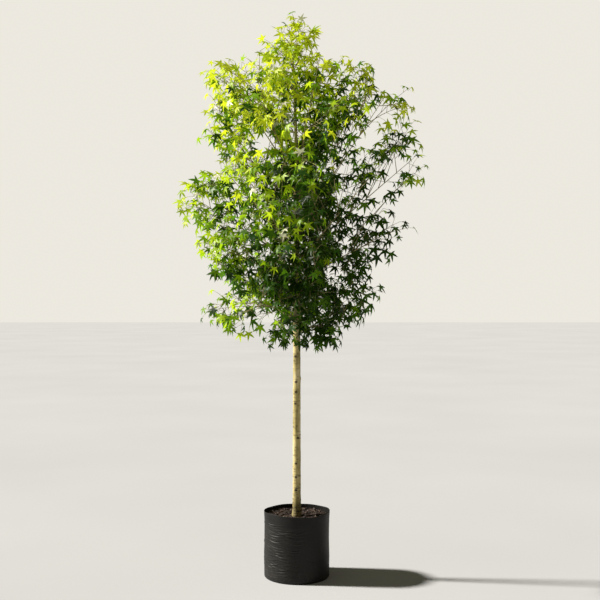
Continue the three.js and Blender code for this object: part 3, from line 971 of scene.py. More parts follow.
    def __post_init__(self) -> None:
        """Grows the shoots in order."""
        self.rng = np.random.default_rng(self.seed)
        lines = self.rule.bough_lines()
        masses = np.arange(self.rule.boughs)
        thick = between(self.rule.bough_radii, self.rule.climbs())
        whole = np.full(self.rule.boughs, -1)
        none = np.zeros(self.rule.boughs)
        self.stems = Shoots(lines, masses, whole, thick, whole, none)
        last = np.array([self.rule.boughs])
        thin = np.array([self.leader_radius])
        self.leader = Shoots(self.rule.leader_line(), last, whole[:1], thin, whole[:1], none[:1])
        groups = [self.grow(self.bearers(), self.side, True)]
        thick = np.array([self.spur_parent_radius])
        for order in (self.spur, self.crest, self.skirt):
            line = self.rule.trunk_centre(np.array(order.heights))[None]
            trunk = Shoots(line, masses[:1], masses[:1], thick, masses[:1], none[:1])
            spurs = self.grow(trunk, order, True)
            spurs.mass = self.nearest_mass(spurs.controls[:, 2])
            spurs.parent[:] = -1
            spurs.spray = spurs.spray + groups[-1].spray.max() + 1
            groups.append(spurs)
        groups.append(self.strong_shoots())
        self.sides = Shoots.joined(groups)
        self.fines = self.grow(self.sides, self.fine, False)

    def bearers(self) -> Shoots:
        """All the stems, with the leader last."""
        return Shoots.joined([self.stems, self.leader])

    def mass_names(self) -> list[str]:
        """Names of the solid masses of foliage, in the order of their stems."""
        return [f"foliage_{number:02d}" for number in range(1, self.rule.boughs + 1)] + ["foliage_leader"]

    def strong_shoots(self) -> Shoots:
        """Long side shoots from their boughs to their tips, arched a little upwards."""
        numbers = np.array([shoot.bough - 1 for shoot in self.long_shoots])
        places = np.array([[shoot.place] for shoot in self.long_shoots])
        tips = np.array([(shoot.x, shoot.y, shoot.z) for shoot in self.long_shoots])
        roots = curve_points(self.bearers().controls[numbers], places)[:, 0]
        middles = (roots + tips) / 2 + UP * self.strong_arch
        controls = np.stack([roots, middles, tips], axis=1)
        sprays = -2 - np.arange(len(numbers))
        radius = np.full(len(numbers), self.side.radius)
        return Shoots(controls, numbers, sprays, radius, numbers, places[:, 0])

    def nearest_mass(self, points: Array) -> Array:
        """Number of the mass whose stem's middle is nearest to each point."""
        middles = curve_points(self.bearers().controls, np.array([self.mass_middle]))[:, 0]
        return np.argmin(np.linalg.norm(points[:, None] - middles[None], axis=-1), axis=1)

    def stays(self, points: Array, sprays: Array) -> Array:
        """Marks what stays where the crown is open: a golden share has to pass the share left out.

        The golden share is the spray's, or the running number's where a bough, the leader or a strong shoot
        bears the leaf. The share left out is even through the upper crown, grows outwards, more so on the
        right, and is given in the openings; what strong shoots bear thins out towards the right as well, and
        the openings alone thin out what boughs bear, a little less. An opening is a cone from the eye, so
        each place is first carried along its line of sight to the upright plane through the trunk.

        Args:
            points: places of shoots or leaves, n by 3.
            sprays: their sprays, n.

        Returns:
            True for what stays, n.
        """
        height = points[:, 2]
        offset = points - self.rule.trunk_centre(height)
        shifted = smooth_step(height, *self.core_rise) * smooth_step(height, *self.core_fall)
        offset[:, 0] -= self.core_shift * shifted
        turn = np.arctan2(offset[:, 1], offset[:, 0])
        outer = np.hypot(offset[:, 0], offset[:, 1]) / self.rule.crown_reach(height, turn)
        right = (1 + np.cos(turn)) / 2
        far = np.clip((outer - self.far_from + self.far_from_right * right) / self.far_width, 0, 1)
        upper = 1 - self.far_top_loss * smooth_step(height, *self.far_top)
        upper = upper * smooth_step(height, *self.far_rise)
        even = self.even_share * smooth_step(height, *self.even_rise) * smooth_step(outer, *self.even_outer)
        share = np.maximum(even, far * upper * (self.far_share + self.far_share_right * right))
        opened = np.zeros(len(points))
        eye = np.array(EYE)
        seen = eye + (points - eye) * (-eye[1] / (points[:, 1:2] - eye[1]))
        for opening in self.openings:
            side = (seen[:, 0] - opening.x) / opening.half_width
            rise = (seen[:, 2] - opening.z) / opening.half_height
            inside = smooth_step(np.hypot(side, rise), *self.opening_edge)
            opened = np.maximum(opened, opening.share * inside)
        number = np.where(sprays < 0, np.arange(len(sprays)), sprays)
        strong = self.strong_share * far * (self.strong_left + right)
        borne = np.where(sprays == -1, self.bough_share * opened, np.maximum(opened, strong))
        share = np.where(sprays < 0, borne, np.maximum(share, opened))
        return number * GOLDEN_SHARE % 1 > share

    def grow(self, parents: Shoots, order: ShootOrder, new_sprays: bool) -> Shoots:
        """Shoots along parents.

        Args:
            parents: what they grow on.
            order: how they stand.
            new_sprays: whether each starts a spray of its own.

        Returns:
            The shoots that find room in the crown.
        """
        lengths = parents.lengths()
        low = 1 + self.low_share * smooth_step(parents.controls[:, 2, 2], *self.low_fall)
        counts = np.round(low * lengths * (order.last - order.first) / order.spacing)
        counts = np.maximum(1, counts).astype(int)
        who = np.repeat(np.arange(len(counts)), counts)
        number = np.arange(len(who)) - np.repeat(np.cumsum(counts) - counts, counts)
        spread = (number + 0.5 + self.rng.uniform(-self.place_draw, self.place_draw, len(who))) / counts[who]
        place = order.first + (order.last - order.first) * spread
        roll = self.rng.uniform(0, FULL_TURN, len(counts))[who] + number * SPIRAL_TURN
        roll = roll + self.rng.normal(0, self.roll_draw, len(who))
        root = curve_points(parents.controls[who], place[:, None])[:, 0]
        tangent = curve_tangents(parents.controls[who], place[:, None])[:, 0]
        angle = order.angle + self.rng.normal(0, self.angle_draw, len(who))
        direction = branch_direction(tangent, angle, roll)
        length = lengths[who] * order.share * (1 - order.loss * place)
        length = np.clip(length * self.rng.uniform(*self.length_draw, len(who)), order.least, order.most)
        lift = order.lift * self.rng.uniform(*self.lift_draw, len(who))
        controls = np.zeros((len(who), 3, 3))
        found = np.zeros(len(who), bool)
        for factor in self.shorter:
            reach = (length * factor)[:, None]
            middle = root + direction * reach / 2
            tip = root + (direction + UP * lift[:, None]) * reach
            ends = np.stack([middle, tip], axis=1)
            room = self.rule.depth_in_crown(tip) > self.room_for_leaf
            room &= np.all(self.rule.gap_to_trunk(ends) > self.trunk_room, axis=1)
            fresh = room & ~found
            controls[fresh] = np.stack([root, middle, tip], axis=1)[fresh]
            found |= fresh
        sprays = np.arange(len(who)) if new_sprays else parents.spray[who]
        found &= self.stays((controls[:, 1] + controls[:, 2]) / 2, sprays)
        radius = np.minimum(order.radius, parents.radius[who] * self.radius_share)
        return Shoots(controls, parents.mass[who], sprays, radius, who, place).take(found)


@dataclass
class Leaves(Rows):
    """Leaves of the crown, as arrays with a row for each leaf.

    Attributes:
        foot: where the stalk leaves its twig.
        heart: where the blade meets its stalk.
        elbow: middle control of the stalk's curve.
        midrib: direction of the blade's middle lobe.
        face: direction that the blade faces.
        length: length of the middle lobe.
        mass: the mass of foliage.
        spray: the spray.
        carrier: number of the shoot in its group.
        place: share of the shoot below the leaf, 1 at the tip.
    """

    foot: Array
    heart: Array
    elbow: Array
    midrib: Array
    face: Array
    length: Array
    mass: Array
    spray: Array
    carrier: Array
    place: Array

    def furthest(self, count: int) -> Array:
        """Place of the last leaf on each of that many shoots, 0 where there is none."""
        found = np.zeros(count)
        np.maximum.at(found, self.carrier, self.place)
        return found


@dataclass(frozen=True)
class LightPatch:
    """A part of the crown whose sprays are brighter or deeper than the rest: painted light where the gain is
    above 0, painted shade where it is below.

    Attributes:
        gain: brightness added, below 0 for a deeper part.
        rise: heights where it starts and where it is whole.
        fall: heights where it ends and where it is whole.
        across: places from left to right where it starts and where it is whole.
        depth: places from front to back where it starts and where it is whole.
        column: middle and half width of a bell from left to right.
    """

    gain: float
    rise: Span | None = None
    fall: Span | None = None
    across: Span | None = None
    depth: Span | None = None
    column: Span | None = None

    def added(self, points: Array) -> Array:
        """Brightness added at points: the gain times a smooth step for each pair of limits, and the bell."""
        total = np.full(len(points), self.gain)
        for axis, limits in ((0, self.across), (1, self.depth), (2, self.rise), (2, self.fall)):
            if limits:
                total = total * smooth_step(points[:, axis], *limits)
        if self.column:
            middle, half_width = self.column
            total = total * np.exp(-(((points[:, 0] - middle) / half_width) ** 2))
        return total


@dataclass(frozen=True)
class Shading:
    """How bright sprays and leaves are, as numbers that steps turn into tints.

    A spray's brightness rises from the foot over the climb, from right to left and by the square of the way
    out, with patches and a seeded draw added; this is partly painted light and shade, lighter towards the
    lamp on the left and deeper low and on the right, and partly the leaves' own colour, yellower where they
    are young. A leaf's rises along its shoot from its spray's, with a draw of its own, and low leaves are
    held back where it is high. A gain is the brightness that a rise adds, a spread is that of the draws, and
    a pair gives the places between which something sets in. A leaf takes the pale tint, partly its pale back
    and partly a painted glare, by chance, if it is not too deep and stands left of a limit and far enough
    along its shoot.
    """

    base: float = -0.03
    foot: float = 1.35
    climb: float = 1.65
    height_gain: float = 0.6
    height_power: float = 1.3
    middle: float = -0.03
    half_width: float = 0.55
    left_gain: float = 0.4
    left_loss: float = 0.6
    left_fade: Span = (2.2, 2.6)
    outer_gain: float = 0.24
    strong_gain: float = 0.06
    strong_outer: Span = (0.5, 0.8)
    spray_spread: float = 0.21
    left_spread: float = 0.08
    leaf_spread: float = 0.15
    top_spread: float = 0.17
    top: Span = (2.2, 2.6)
    along_gain: float = 0.8
    along_middle: float = 0.68
    soft_from: float = 0.66
    soft_share: float = 0.55
    soft_fade: Span = (2.4, 2.1)
    steps: Numbers = (0.1, 0.26, 0.38, 0.53, 0.68, 0.9)
    pale_share: float = 0.04
    pale_place: float = 0.4
    pale_right: float = 0.04
    pale_tint: int = 2
    # Patches of painted light, and of painted shade where the gain is below 0
    patches: tuple[LightPatch, ...] = (
        LightPatch(0.36, rise=(1.75, 2.1), across=(0.26, 0.5)),
        LightPatch(0.2, fall=(1.6, 1.4), across=(0.05, -0.15)),
        LightPatch(0.36, rise=(1.38, 1.48), fall=(1.75, 1.6), across=(0.2, 0.32)),
        LightPatch(0.21, rise=(2.3, 2.65)),
        LightPatch(0.28, rise=(2.8, 2.95)),
        LightPatch(0.22, rise=(2.25, 2.5), column=(0.05, 0.17)),
        LightPatch(-0.16, rise=(2.26, 2.4), fall=(2.8, 2.66), across=(0.04, 0.18)),
        LightPatch(-0.12, fall=(2.2, 1.9), across=(-0.2, 0.05)),
        LightPatch(0.44, rise=(1.75, 2.05), depth=(-0.15, -0.35), column=(-0.06, 0.15)),
    )

    def sprays(self, middle: Array, outer: Array, strong: Array, rng: np.random.Generator) -> Array:
        """Brightness of sprays.

        Args:
            middle: middle of each spray's leaves, n by 3.
            outer: share of the crown's reach there, n.
            strong: whether a bough or a strong shoot bears it, n.
            rng: seeded draws.

        Returns:
            Brightness of each, mostly from 0 to 1.
        """
        height = np.clip((middle[:, 2] - self.foot) / self.climb, 0, 1)
        leftward = np.clip((self.middle - middle[:, 0]) / self.half_width, -1, 1)
        sideways = leftward * (1 - self.left_loss * smooth_step(middle[:, 2], *self.left_fade))
        bright = self.base + self.height_gain * height**self.height_power
        # Painted light: sprays towards the lamp on the left are brighter
        bright = bright + self.left_gain * sideways + self.outer_gain * outer**2
        bright = bright + self.strong_gain * strong * smooth_step(outer, *self.strong_outer)
        for patch in self.patches:
            bright = bright + patch.added(middle)
        spread = self.spray_spread + self.left_spread * np.maximum(leftward, 0)
        return bright + rng.normal(0, 1, len(middle)) * spread

    def tints(self, bright: Array, leaves: Leaves, rng: np.random.Generator) -> Array:
        """Tint numbers of leaves.

        Args:
            bright: brightness of each leaf's spray, n.
            leaves: the leaves.
            rng: seeded draws.

        Returns:
            Numbers by the order of the tints, the last of them for pale backs and painted glare.
        """
        height = leaves.heart[:, 2]
        spread = self.leaf_spread + self.top_spread * smooth_step(height, *self.top)
        score = bright + self.along_gain * (leaves.place - self.along_middle)
        score = score + rng.normal(0, 1, len(bright)) * spread
        held = self.soft_share * smooth_step(height, *self.soft_fade)
        score = score - held * np.maximum(score - self.soft_from, 0)
        tint = np.searchsorted(np.array(self.steps), score)
        # Pale tint: partly pale leaf backs, partly painted glare, only on the lit side
        pale = (rng.uniform(0, 1, len(bright)) < self.pale_share) & (leaves.place > self.pale_place)
        pale &= (leaves.heart[:, 0] < self.pale_right) & (tint >= self.pale_tint)
        return np.where(pale, len(self.steps) + 1, tint)


@dataclass(frozen=True)
class LeafOutline:
    """Five-pointed blade, as shares of the middle lobe's length and angles from the midrib.

    Attributes:
        lobes: angle of each lobe's rib.
        lengths: length of each lobe.
        half_angles: angle from each rib to the lobe's shoulders.
        ribs: shares of a lobe's length with a point on its rib, before its tip.
        shoulder: share of a lobe's length at its shoulders.
        bays: angle of each bay between lobes.
        bay_depths: distance of each bay from the heart.
        heel: distance of the heel behind the heart.
        lifts: share of the fold by which shoulders stand up, and bays and heel.
    """

    lobes: Numbers = (-112, -55, 0, 55, 112)
    lengths: Numbers = (0.64, 0.93, 1.0, 0.93, 0.64)
    half_angles: Numbers = (13, 12, 11, 12, 13)
    ribs: Span = (0.32, 0.64)
    shoulder: float = 0.58
    bays: Numbers = (-84, -28, 28, 84)
    bay_depths: Numbers = (0.28, 0.31, 0.31, 0.28)
    heel: float = 0.1
    lifts: Span = (0.6, 1.0)

    def points(self) -> tuple[Array, Array, Array]:
        """Shares, angles and lifts: heart, two rows along the ribs, tips, both shoulders, bays and heel."""
        lobes, half = np.radians(self.lobes), np.radians(self.half_angles)
        lengths = np.array(self.lengths)
        rows = [factor * lengths for factor in (*self.ribs, 1.0, self.shoulder, self.shoulder)]
        share = np.concatenate([[0], *rows, self.bay_depths, [self.heel]])
        sides = [lobes, lobes, lobes, lobes - half, lobes + half]
        angle = np.concatenate([[0], *sides, np.radians(self.bays), [math.pi]])
        count = len(lobes)
        lift = np.repeat([0.0, *self.lifts], [1 + 3 * count, 2 * count, count])
        return share, angle, lift

    def faces(self) -> tuple[Array, Array]:
        """Triangles at heart and tips, and quads along the ribs, as numbers of those points."""
        count = len(self.lobes)
        first, second, end, right, left = 1 + np.arange(5 * count).reshape(5, count)
        heel = 6 * count
        bay = np.concatenate([[heel], np.arange(left[-1] + 1, heel), [heel]])
        heart = np.zeros(count, int)
        triangles = np.concatenate([
            np.stack([heart, first, bay[1:]], -1), np.stack([second, end, left], -1),
            np.stack([heart, bay[:-1], first], -1), np.stack([second, right, end], -1),
        ])
        quads = np.concatenate([
            np.stack([first, second, left, bay[1:]], -1), np.stack([first, bay[:-1], right, second], -1),
        ])
        return triangles, quads


@dataclass
class Foliage:
    """Leaves and their stalks on all the shoots of a crown."""

    crown: Crown
    seed: int = 11
    shading: Shading = Shading()
    outline: LeafOutline = LeafOutline()
    spacing: float = 0.03
    firsts: Triple = (0.12, 0.3, 0.3)
    last: float = 0.985
    tip_angle: float = 0.15
    side_angle: float = math.radians(58)
    angle_draw: float = 0.14
    stalk: Span = (0.034, 0.062)
    stalk_elbow: float = 0.55
    stalk_overlap: float = 0.05
    stalk_radii: Numbers = (0.0012, 0.0009, 0.0008, 0.0008)
    sag: Span = (0.1, 0.5)
    lobe: Span = (0.036, 0.063)
    young_from: float = 0.9
    young_size: float = 0.82
    hang: Span = (0.25, 1.6)
    hang_foot: float = 1.4
    hang_climb: float = 1.6
    hang_loss: float = 0.4
    hang_top: Span = (2.85, 3.0)
    hang_top_loss: float = 0.5
    roll_most: float = math.radians(55)
    droop: Span = (0.24, 0.16)
    fold: Span = (0.07, 0.05)
    breadth: Span = (0.95, 0.1)
    fan_draw: float = 0.08
    wave: float = 0.07
    tip_slack: float = 0.012
    strong_slack: float = 0.1
    trunk_room: float = 0.015
    cell: float = 0.028
    lowest_leaf: float = 1.24
    highest_leaf: float = 3.125
    light_stalks_from: int = 4

    def __post_init__(self) -> None:
        """Deals leaves out over fine and side shoots and stems, and cuts each off at the last it bears."""
        self.rng = np.random.default_rng(self.seed)
        crown = self.crown
        orders = (crown.fines, crown.sides, crown.bearers())
        dealt = [self.deal(shoots, first) for shoots, first in zip(orders, self.firsts)]
        self.leaves = Leaves.joined(dealt)
        keep = self.keeps()
        parts = np.split(keep, np.cumsum([len(part.place) for part in dealt])[:-1])
        fine, side, stem = (
            part.take(marks).furthest(len(shoots.mass)) for part, marks, shoots in zip(dealt, parts, orders)
        )
        for shoots, reach, bearer_reach in ((crown.fines, fine, side), (crown.sides, side, stem)):
            bearing = shoots.take((reach > 0) & (shoots.parent >= 0))
            np.maximum.at(bearer_reach, bearing.parent, bearing.place)
        crown.fines = crown.fines.cut(fine)
        crown.sides = crown.sides.cut(side)
        crown.stems = crown.stems.cut(stem[:-1])
        self.leaves = self.leaves.take(keep)

    def deal(self, shoots: Shoots, first: float) -> Leaves:
        """Leaves along shoots, rolled round them by the spiral turn, with one at each tip.

        A stalk leaves its twig at an angle and sags, and the blade's midrib is the stalk's direction drawn
        down by a hang, which is less high up. The blade is rolled round its midrib by a draw.

        Args:
            shoots: what carries them.
            first: share of the shoot below the first leaf.

        Returns:
            The leaves.
        """
        rng = self.rng
        lengths = shoots.lengths()
        counts = np.maximum(2, np.round(lengths * (1 - first) / self.spacing)).astype(int)
        who = np.repeat(np.arange(len(counts)), counts)
        number = np.arange(len(who)) - np.repeat(np.cumsum(counts) - counts, counts)
        place = first + (self.last - first) * (number + 1) / counts[who]
        at_tip = number == counts[who] - 1
        foot = curve_points(shoots.controls[who], place[:, None])[:, 0]
        tangent = curve_tangents(shoots.controls[who], place[:, None])[:, 0]
        roll = rng.uniform(0, FULL_TURN, len(counts))[who] + number * SPIRAL_TURN
        angle = np.where(at_tip, self.tip_angle, self.side_angle) + rng.normal(0, self.angle_draw, len(who))
        direction = branch_direction(tangent, angle, roll)
        height = np.clip((foot[:, 2] - self.hang_foot) / self.hang_climb, 0, 1)
        stalk = rng.uniform(*self.stalk, len(who))[:, None]
        sag = rng.uniform(*self.sag, len(who))[:, None]
        heart = foot + (direction - UP * sag) * stalk
        elbow = foot + direction * stalk * self.stalk_elbow
        top = smooth_step(foot[:, 2], *self.hang_top)
        hang = rng.uniform(*self.hang, len(who)) * (1 - self.hang_loss * height - self.hang_top_loss * top)
        midrib = unit(unit(heart - elbow) - UP * hang[:, None])
        level, over = across_of(midrib)
        turn = rng.uniform(-self.roll_most, self.roll_most, len(who))[:, None]
        face = unit(np.cos(turn) * over + np.sin(turn) * level)
        length = rng.uniform(*self.lobe, len(who)) * np.where(place > self.young_from, self.young_size, 1.0)
        mass, spray = shoots.mass[who], shoots.spray[who]
        return Leaves(foot, heart, elbow, midrib, face, length, mass, spray, who, place)

    def keeps(self) -> Array:
        """Marks the leaves that stay: in the crown, off trunk and openings, one to a small cell of space."""
        leaves, rule = self.leaves, self.crown.rule
        tip = leaves.heart + leaves.midrib * leaves.length[:, None]
        slack = np.where(leaves.spray < -1, self.strong_slack, 0.0)
        keep = rule.depth_in_crown(tip) > -self.tip_slack - slack
        keep &= rule.depth_in_crown(leaves.heart) > -slack
        keep &= rule.gap_to_trunk(leaves.heart) > self.trunk_room
        keep &= (tip[:, 2] > self.lowest_leaf) & (tip[:, 2] < self.highest_leaf)
        middle = (tip + leaves.heart) / 2
        keep &= self.crown.stays(middle, leaves.spray)
        cells = np.floor(middle / self.cell).astype(int)
        order = self.rng.permutation(len(cells))
        order = order[keep[order]]
        _, chosen = np.unique(cells[order], axis=0, return_index=True)
        uncrowded = np.zeros(len(cells), bool)
        uncrowded[order[chosen]] = True
        return keep & uncrowded

    def tints(self) -> Array:
        """Number of each leaf's tint, dealt out by spray within each mass, partly as painted light and shade.

        Returns:
            Tint numbers, by the order of the tints.
        """
        leaves = self.leaves
        groups = np.stack([leaves.spray, leaves.mass], axis=-1)
        groups, which = np.unique(groups, axis=0, return_inverse=True)
        sprays, which = groups[:, 0], which.ravel()
        size = np.bincount(which)
        middle = np.stack([np.bincount(which, leaves.heart[:, i]) / size for i in range(3)], axis=-1)
        distance, turn = self.crown.rule.from_trunk(middle)
        outer = distance / self.crown.rule.crown_reach(middle[:, 2], turn)
        bright = self.shading.sprays(middle, outer, sprays < 0, self.rng)
        return self.shading.tints(bright[which], leaves, self.rng)

    def blades(self, pick: Array, tints: Array) -> Surface:
        """Blades of some leaves: five pointed lobes, folded along their ribs and bent down at the tips.

        A blade point lies at a share of the leaf's length and an angle from the midrib. It drops by the
        square of that share times a droop, points between ribs stand up by a fold, and a sine of twice the
        angle waves the edge. Droop, fold and breadth are a mean and how far a draw changes it.

        Args:
            pick: numbers of the leaves.
            tints: tint number of each of them.

        Returns:
            The joined blades.
        """
        rng = np.random.default_rng(self.seed + 1)
        draws = rng.uniform(-1, 1, (len(self.leaves.length), 6))[pick]
        fan, drop, crease, swing, phase, broad = draws.T[..., None]
        leaves = self.leaves.take(pick)
        share, angle, lift = self.outline.points()
        angles = np.where(angle == math.pi, angle, angle * (1 + self.fan_draw * fan))
        length = leaves.length[:, None]
        droop = self.droop[0] + self.droop[1] * drop
        fold = self.fold[0] + self.fold[1] * crease
        wave = self.wave * swing * np.sin(2 * angles + 3 * phase)
        along = np.cos(angles) * share * length
        side = np.sin(angles) * share * length * (self.breadth[0] + self.breadth[1] * broad)
        rise = (fold * lift - droop * share**2 + wave * share) * length
        across = np.cross(leaves.face, leaves.midrib)
        points = leaves.heart[:, None] + along[..., None] * leaves.midrib[:, None]
        points = points + side[..., None] * across[:, None] + rise[..., None] * leaves.face[:, None]
        triangles, quads = self.outline.faces()
        offset = (np.arange(len(pick)) * points.shape[1])[:, None, None]
        corners = np.concatenate([(triangles + offset).ravel(), (quads + offset).ravel()])
        sizes = np.concatenate([np.full(len(pick) * len(triangles), 3), np.full(len(pick) * len(quads), 4)])
        face_tints = np.concatenate([np.repeat(tints, len(triangles)), np.repeat(tints, len(quads))])
        return Surface(points.reshape(-1, 3), corners, sizes, face_tints)

    def stalks(self, tints: Array) -> Surface:
        """Stalks of all the leaves: three-sided, bent once between twig and blade."""
        leaves = self.leaves
        end = leaves.heart - leaves.midrib * leaves.length[:, None] * self.stalk_overlap
        rings = len(self.stalk_radii)
        paths = curve_points(np.stack([leaves.foot, leaves.elbow, end], axis=1), np.linspace(0, 1, rings))
        radii = np.broadcast_to(np.array(self.stalk_radii), (len(end), rings))
        # Leaves of the paler tints, which are partly painted light, get the lighter stalks
        return limbs(paths, radii, 3, (tints >= self.light_stalks_from).astype(int))

    def build(self) -> None:
        """Makes the leaf pieces by the record's slots, and one piece of stalks."""
        finishes = [tint.value.build() for tint in Tint]
        tints = self.tints()
        names = self.crown.mass_names()
        groups = {"leaves_deep": (0, 6), "leaves_green": (6, 21), "leaves_young": (21, len(names))}
        for slot, (low, high) in groups.items():
            pick = np.flatnonzero((self.leaves.mass >= low) & (self.leaves.mass < high))
            self.blades(pick, tints[pick]).piece(slot, finishes, slot, names[low:high])
        shade = StalkFinish("stalk_olive", "5f7430", "808a3c")
        light = StalkFinish("stalk_yellow_green", "98a642", "bcbc58")
        self.stalks(tints).piece("leaf_stalks", [shade.build(), light.build()], "leaves_green", names)
        LOG.info("%d leaves in all", len(tints))


@dataclass
class Twigs:
    """Side shoots and fine shoots that carry the leaves."""

    crown: Crown
    end_radius: float = 0.0009

    def build(self) -> None:
        """Makes one piece of all the twigs: tapering limbs along the shoots' curves."""
        bark = BarkFinish("twig_bark", "a89c6c", "887d50", "5e5632", grain=60)
        crown = self.crown
        parts = [
            self.tapered(crown.sides, rings=6, sides=5),
            self.tapered(crown.fines, rings=4, sides=4),
            self.tapered(crown.leader, rings=8, sides=6),
        ]
        starts = np.cumsum([0] + [len(part.points) for part in parts])
        corners = np.concatenate([part.corners + start for part, start in zip(parts, starts)])
        sizes = np.concatenate([part.sizes for part in parts])
        points = np.concatenate([part.points for part in parts])
        joint = Surface(points, corners, sizes, None, {"scar": np.zeros(len(points))})
        joint.piece("twigs", [bark.build()], "bough_bark", crown.mass_names())

    def tapered(self, shoots: Shoots, rings: int, sides: int) -> Surface:
        """Limbs along shoots, thinning evenly to the tip."""
        shares = np.linspace(0, 1, rings)
        radii = shoots.radius[:, None] * (1 - shares) + self.end_radius * shares
        return limbs(curve_points(shoots.controls, shares), radii, sides)


@dataclass
class Boughs:
    """Boughs from the trunk's bark to the tips of their stems, with swellings and wrinkles."""

    crown: Crown
    seed: int = 3
    rings: int = 60
    ring_power: float = 1.2
    sides: int = 10
    end_radius: float = 0.0015
    outer_places: Span = (0.5, 1.0)
    outer_taper: Span = (0.36, 0.18)
    collar: float = 0.55
    collar_length: float = 0.02
    rough_waves: int = 7
    rough_scale: float = 0.02
    rough_share: float = 0.07
    wrinkle_pace: float = 700.0
    wrinkle_length: float = 0.05
    wrinkle_share: float = 0.035
    root_dark: float = 0.35
    root_dark_length: float = 0.012
    speck_dark: float = 0.12
    speck_from: float = 1.2

    def build(self) -> None:
        """Makes one piece of all the boughs.

        The radius falls along the line by the taper of the solids and on to the tip, swells at the trunk by
        an exponential collar, and is roughened by small sines round and along the limb.
        """
        rule = self.crown.rule
        rng = np.random.default_rng(self.seed)
        stems = self.crown.stems
        shares = np.linspace(0, 1, self.rings) ** self.ring_power
        paths = curve_points(stems.controls, shares)
        places = [0, rule.bough_share, *self.outer_places]
        taper = np.interp(shares, places, [1, rule.bough_taper, *self.outer_taper])
        radii = np.maximum(stems.radius[:, None] * taper, self.end_radius)
        along = (shares * stems.lengths()[:, None])[..., None]
        from_bark = np.maximum(0, rule.gap_to_trunk(paths))
        radii = radii * (1 + self.collar * np.exp(-from_bark / self.collar_length))
        rough = ripples(along, turns(self.sides), rng, self.rough_waves, self.rough_scale)
        wrinkle = np.sin(along * self.wrinkle_pace + 3 * rough)
        wrinkle = wrinkle * np.exp(-from_bark / self.wrinkle_length)[..., None]
        relief = radii[..., None] * (1 + self.rough_share * rough + self.wrinkle_share * wrinkle)
        surface = limbs(paths, relief, self.sides)
        dark = self.root_dark * np.exp(-from_bark / self.root_dark_length)[..., None]
        dark = np.clip(dark + self.speck_dark * (rough > self.speck_from), 0, 1).reshape(len(paths), -1)
        surface.marks["scar"] = np.concatenate([dark, np.zeros((len(paths), 2))], axis=1).ravel()
        bark = BarkFinish("bough_bark", "a69a68", "847a4c", "5c5632", grain=40)
        names = [f"bough_{number:02d}" for number in range(1, rule.boughs + 1)]
        surface.piece("boughs", [bark.build()], "bough_bark", names)


@dataclass(frozen=True)
class TrunkMark:
    """A scar or swelling on the trunk: its height, turn, half sizes, rise and darkness.

    The numbers after them are in half sizes: its edge, a dip in its middle, and a dark line above it.
    """

    z: float
    turn: float
    half_width: float
    half_height: float
    rise: float
    dark: float
    edge: float = 1.6
    dip_edge: float = 0.75
    dip: float = 0.75
    brow_rise: float = 1.9
    brow_half_width: float = 1.9
    brow_half_height: float = 0.45
    brow_dark: float = 0.35

    def swell(self, turn: Array, z: Array, radius: Array) -> tuple[Array, Array]:
        """Outward shift and darkness by turn, height and the trunk's radius, each k by s.

        The shift is a broad bell less a narrow one. The darkness is a flat-topped bell, with a wide, thin
        bell above it.
        """
        side = wrapped(turn - self.turn) * radius / self.half_width
        rise = (z - self.z) / self.half_height
        apart = np.hypot(side, rise)
        shift = np.exp(-((apart / self.edge) ** 2)) - self.dip * np.exp(-((apart / self.dip_edge) ** 2))
        brow = np.hypot(side / self.brow_half_width, (rise - self.brow_rise) / self.brow_half_height)
        return self.rise * shift, self.dark * np.exp(-(apart**4)) + self.brow_dark * np.exp(-(brow**2))


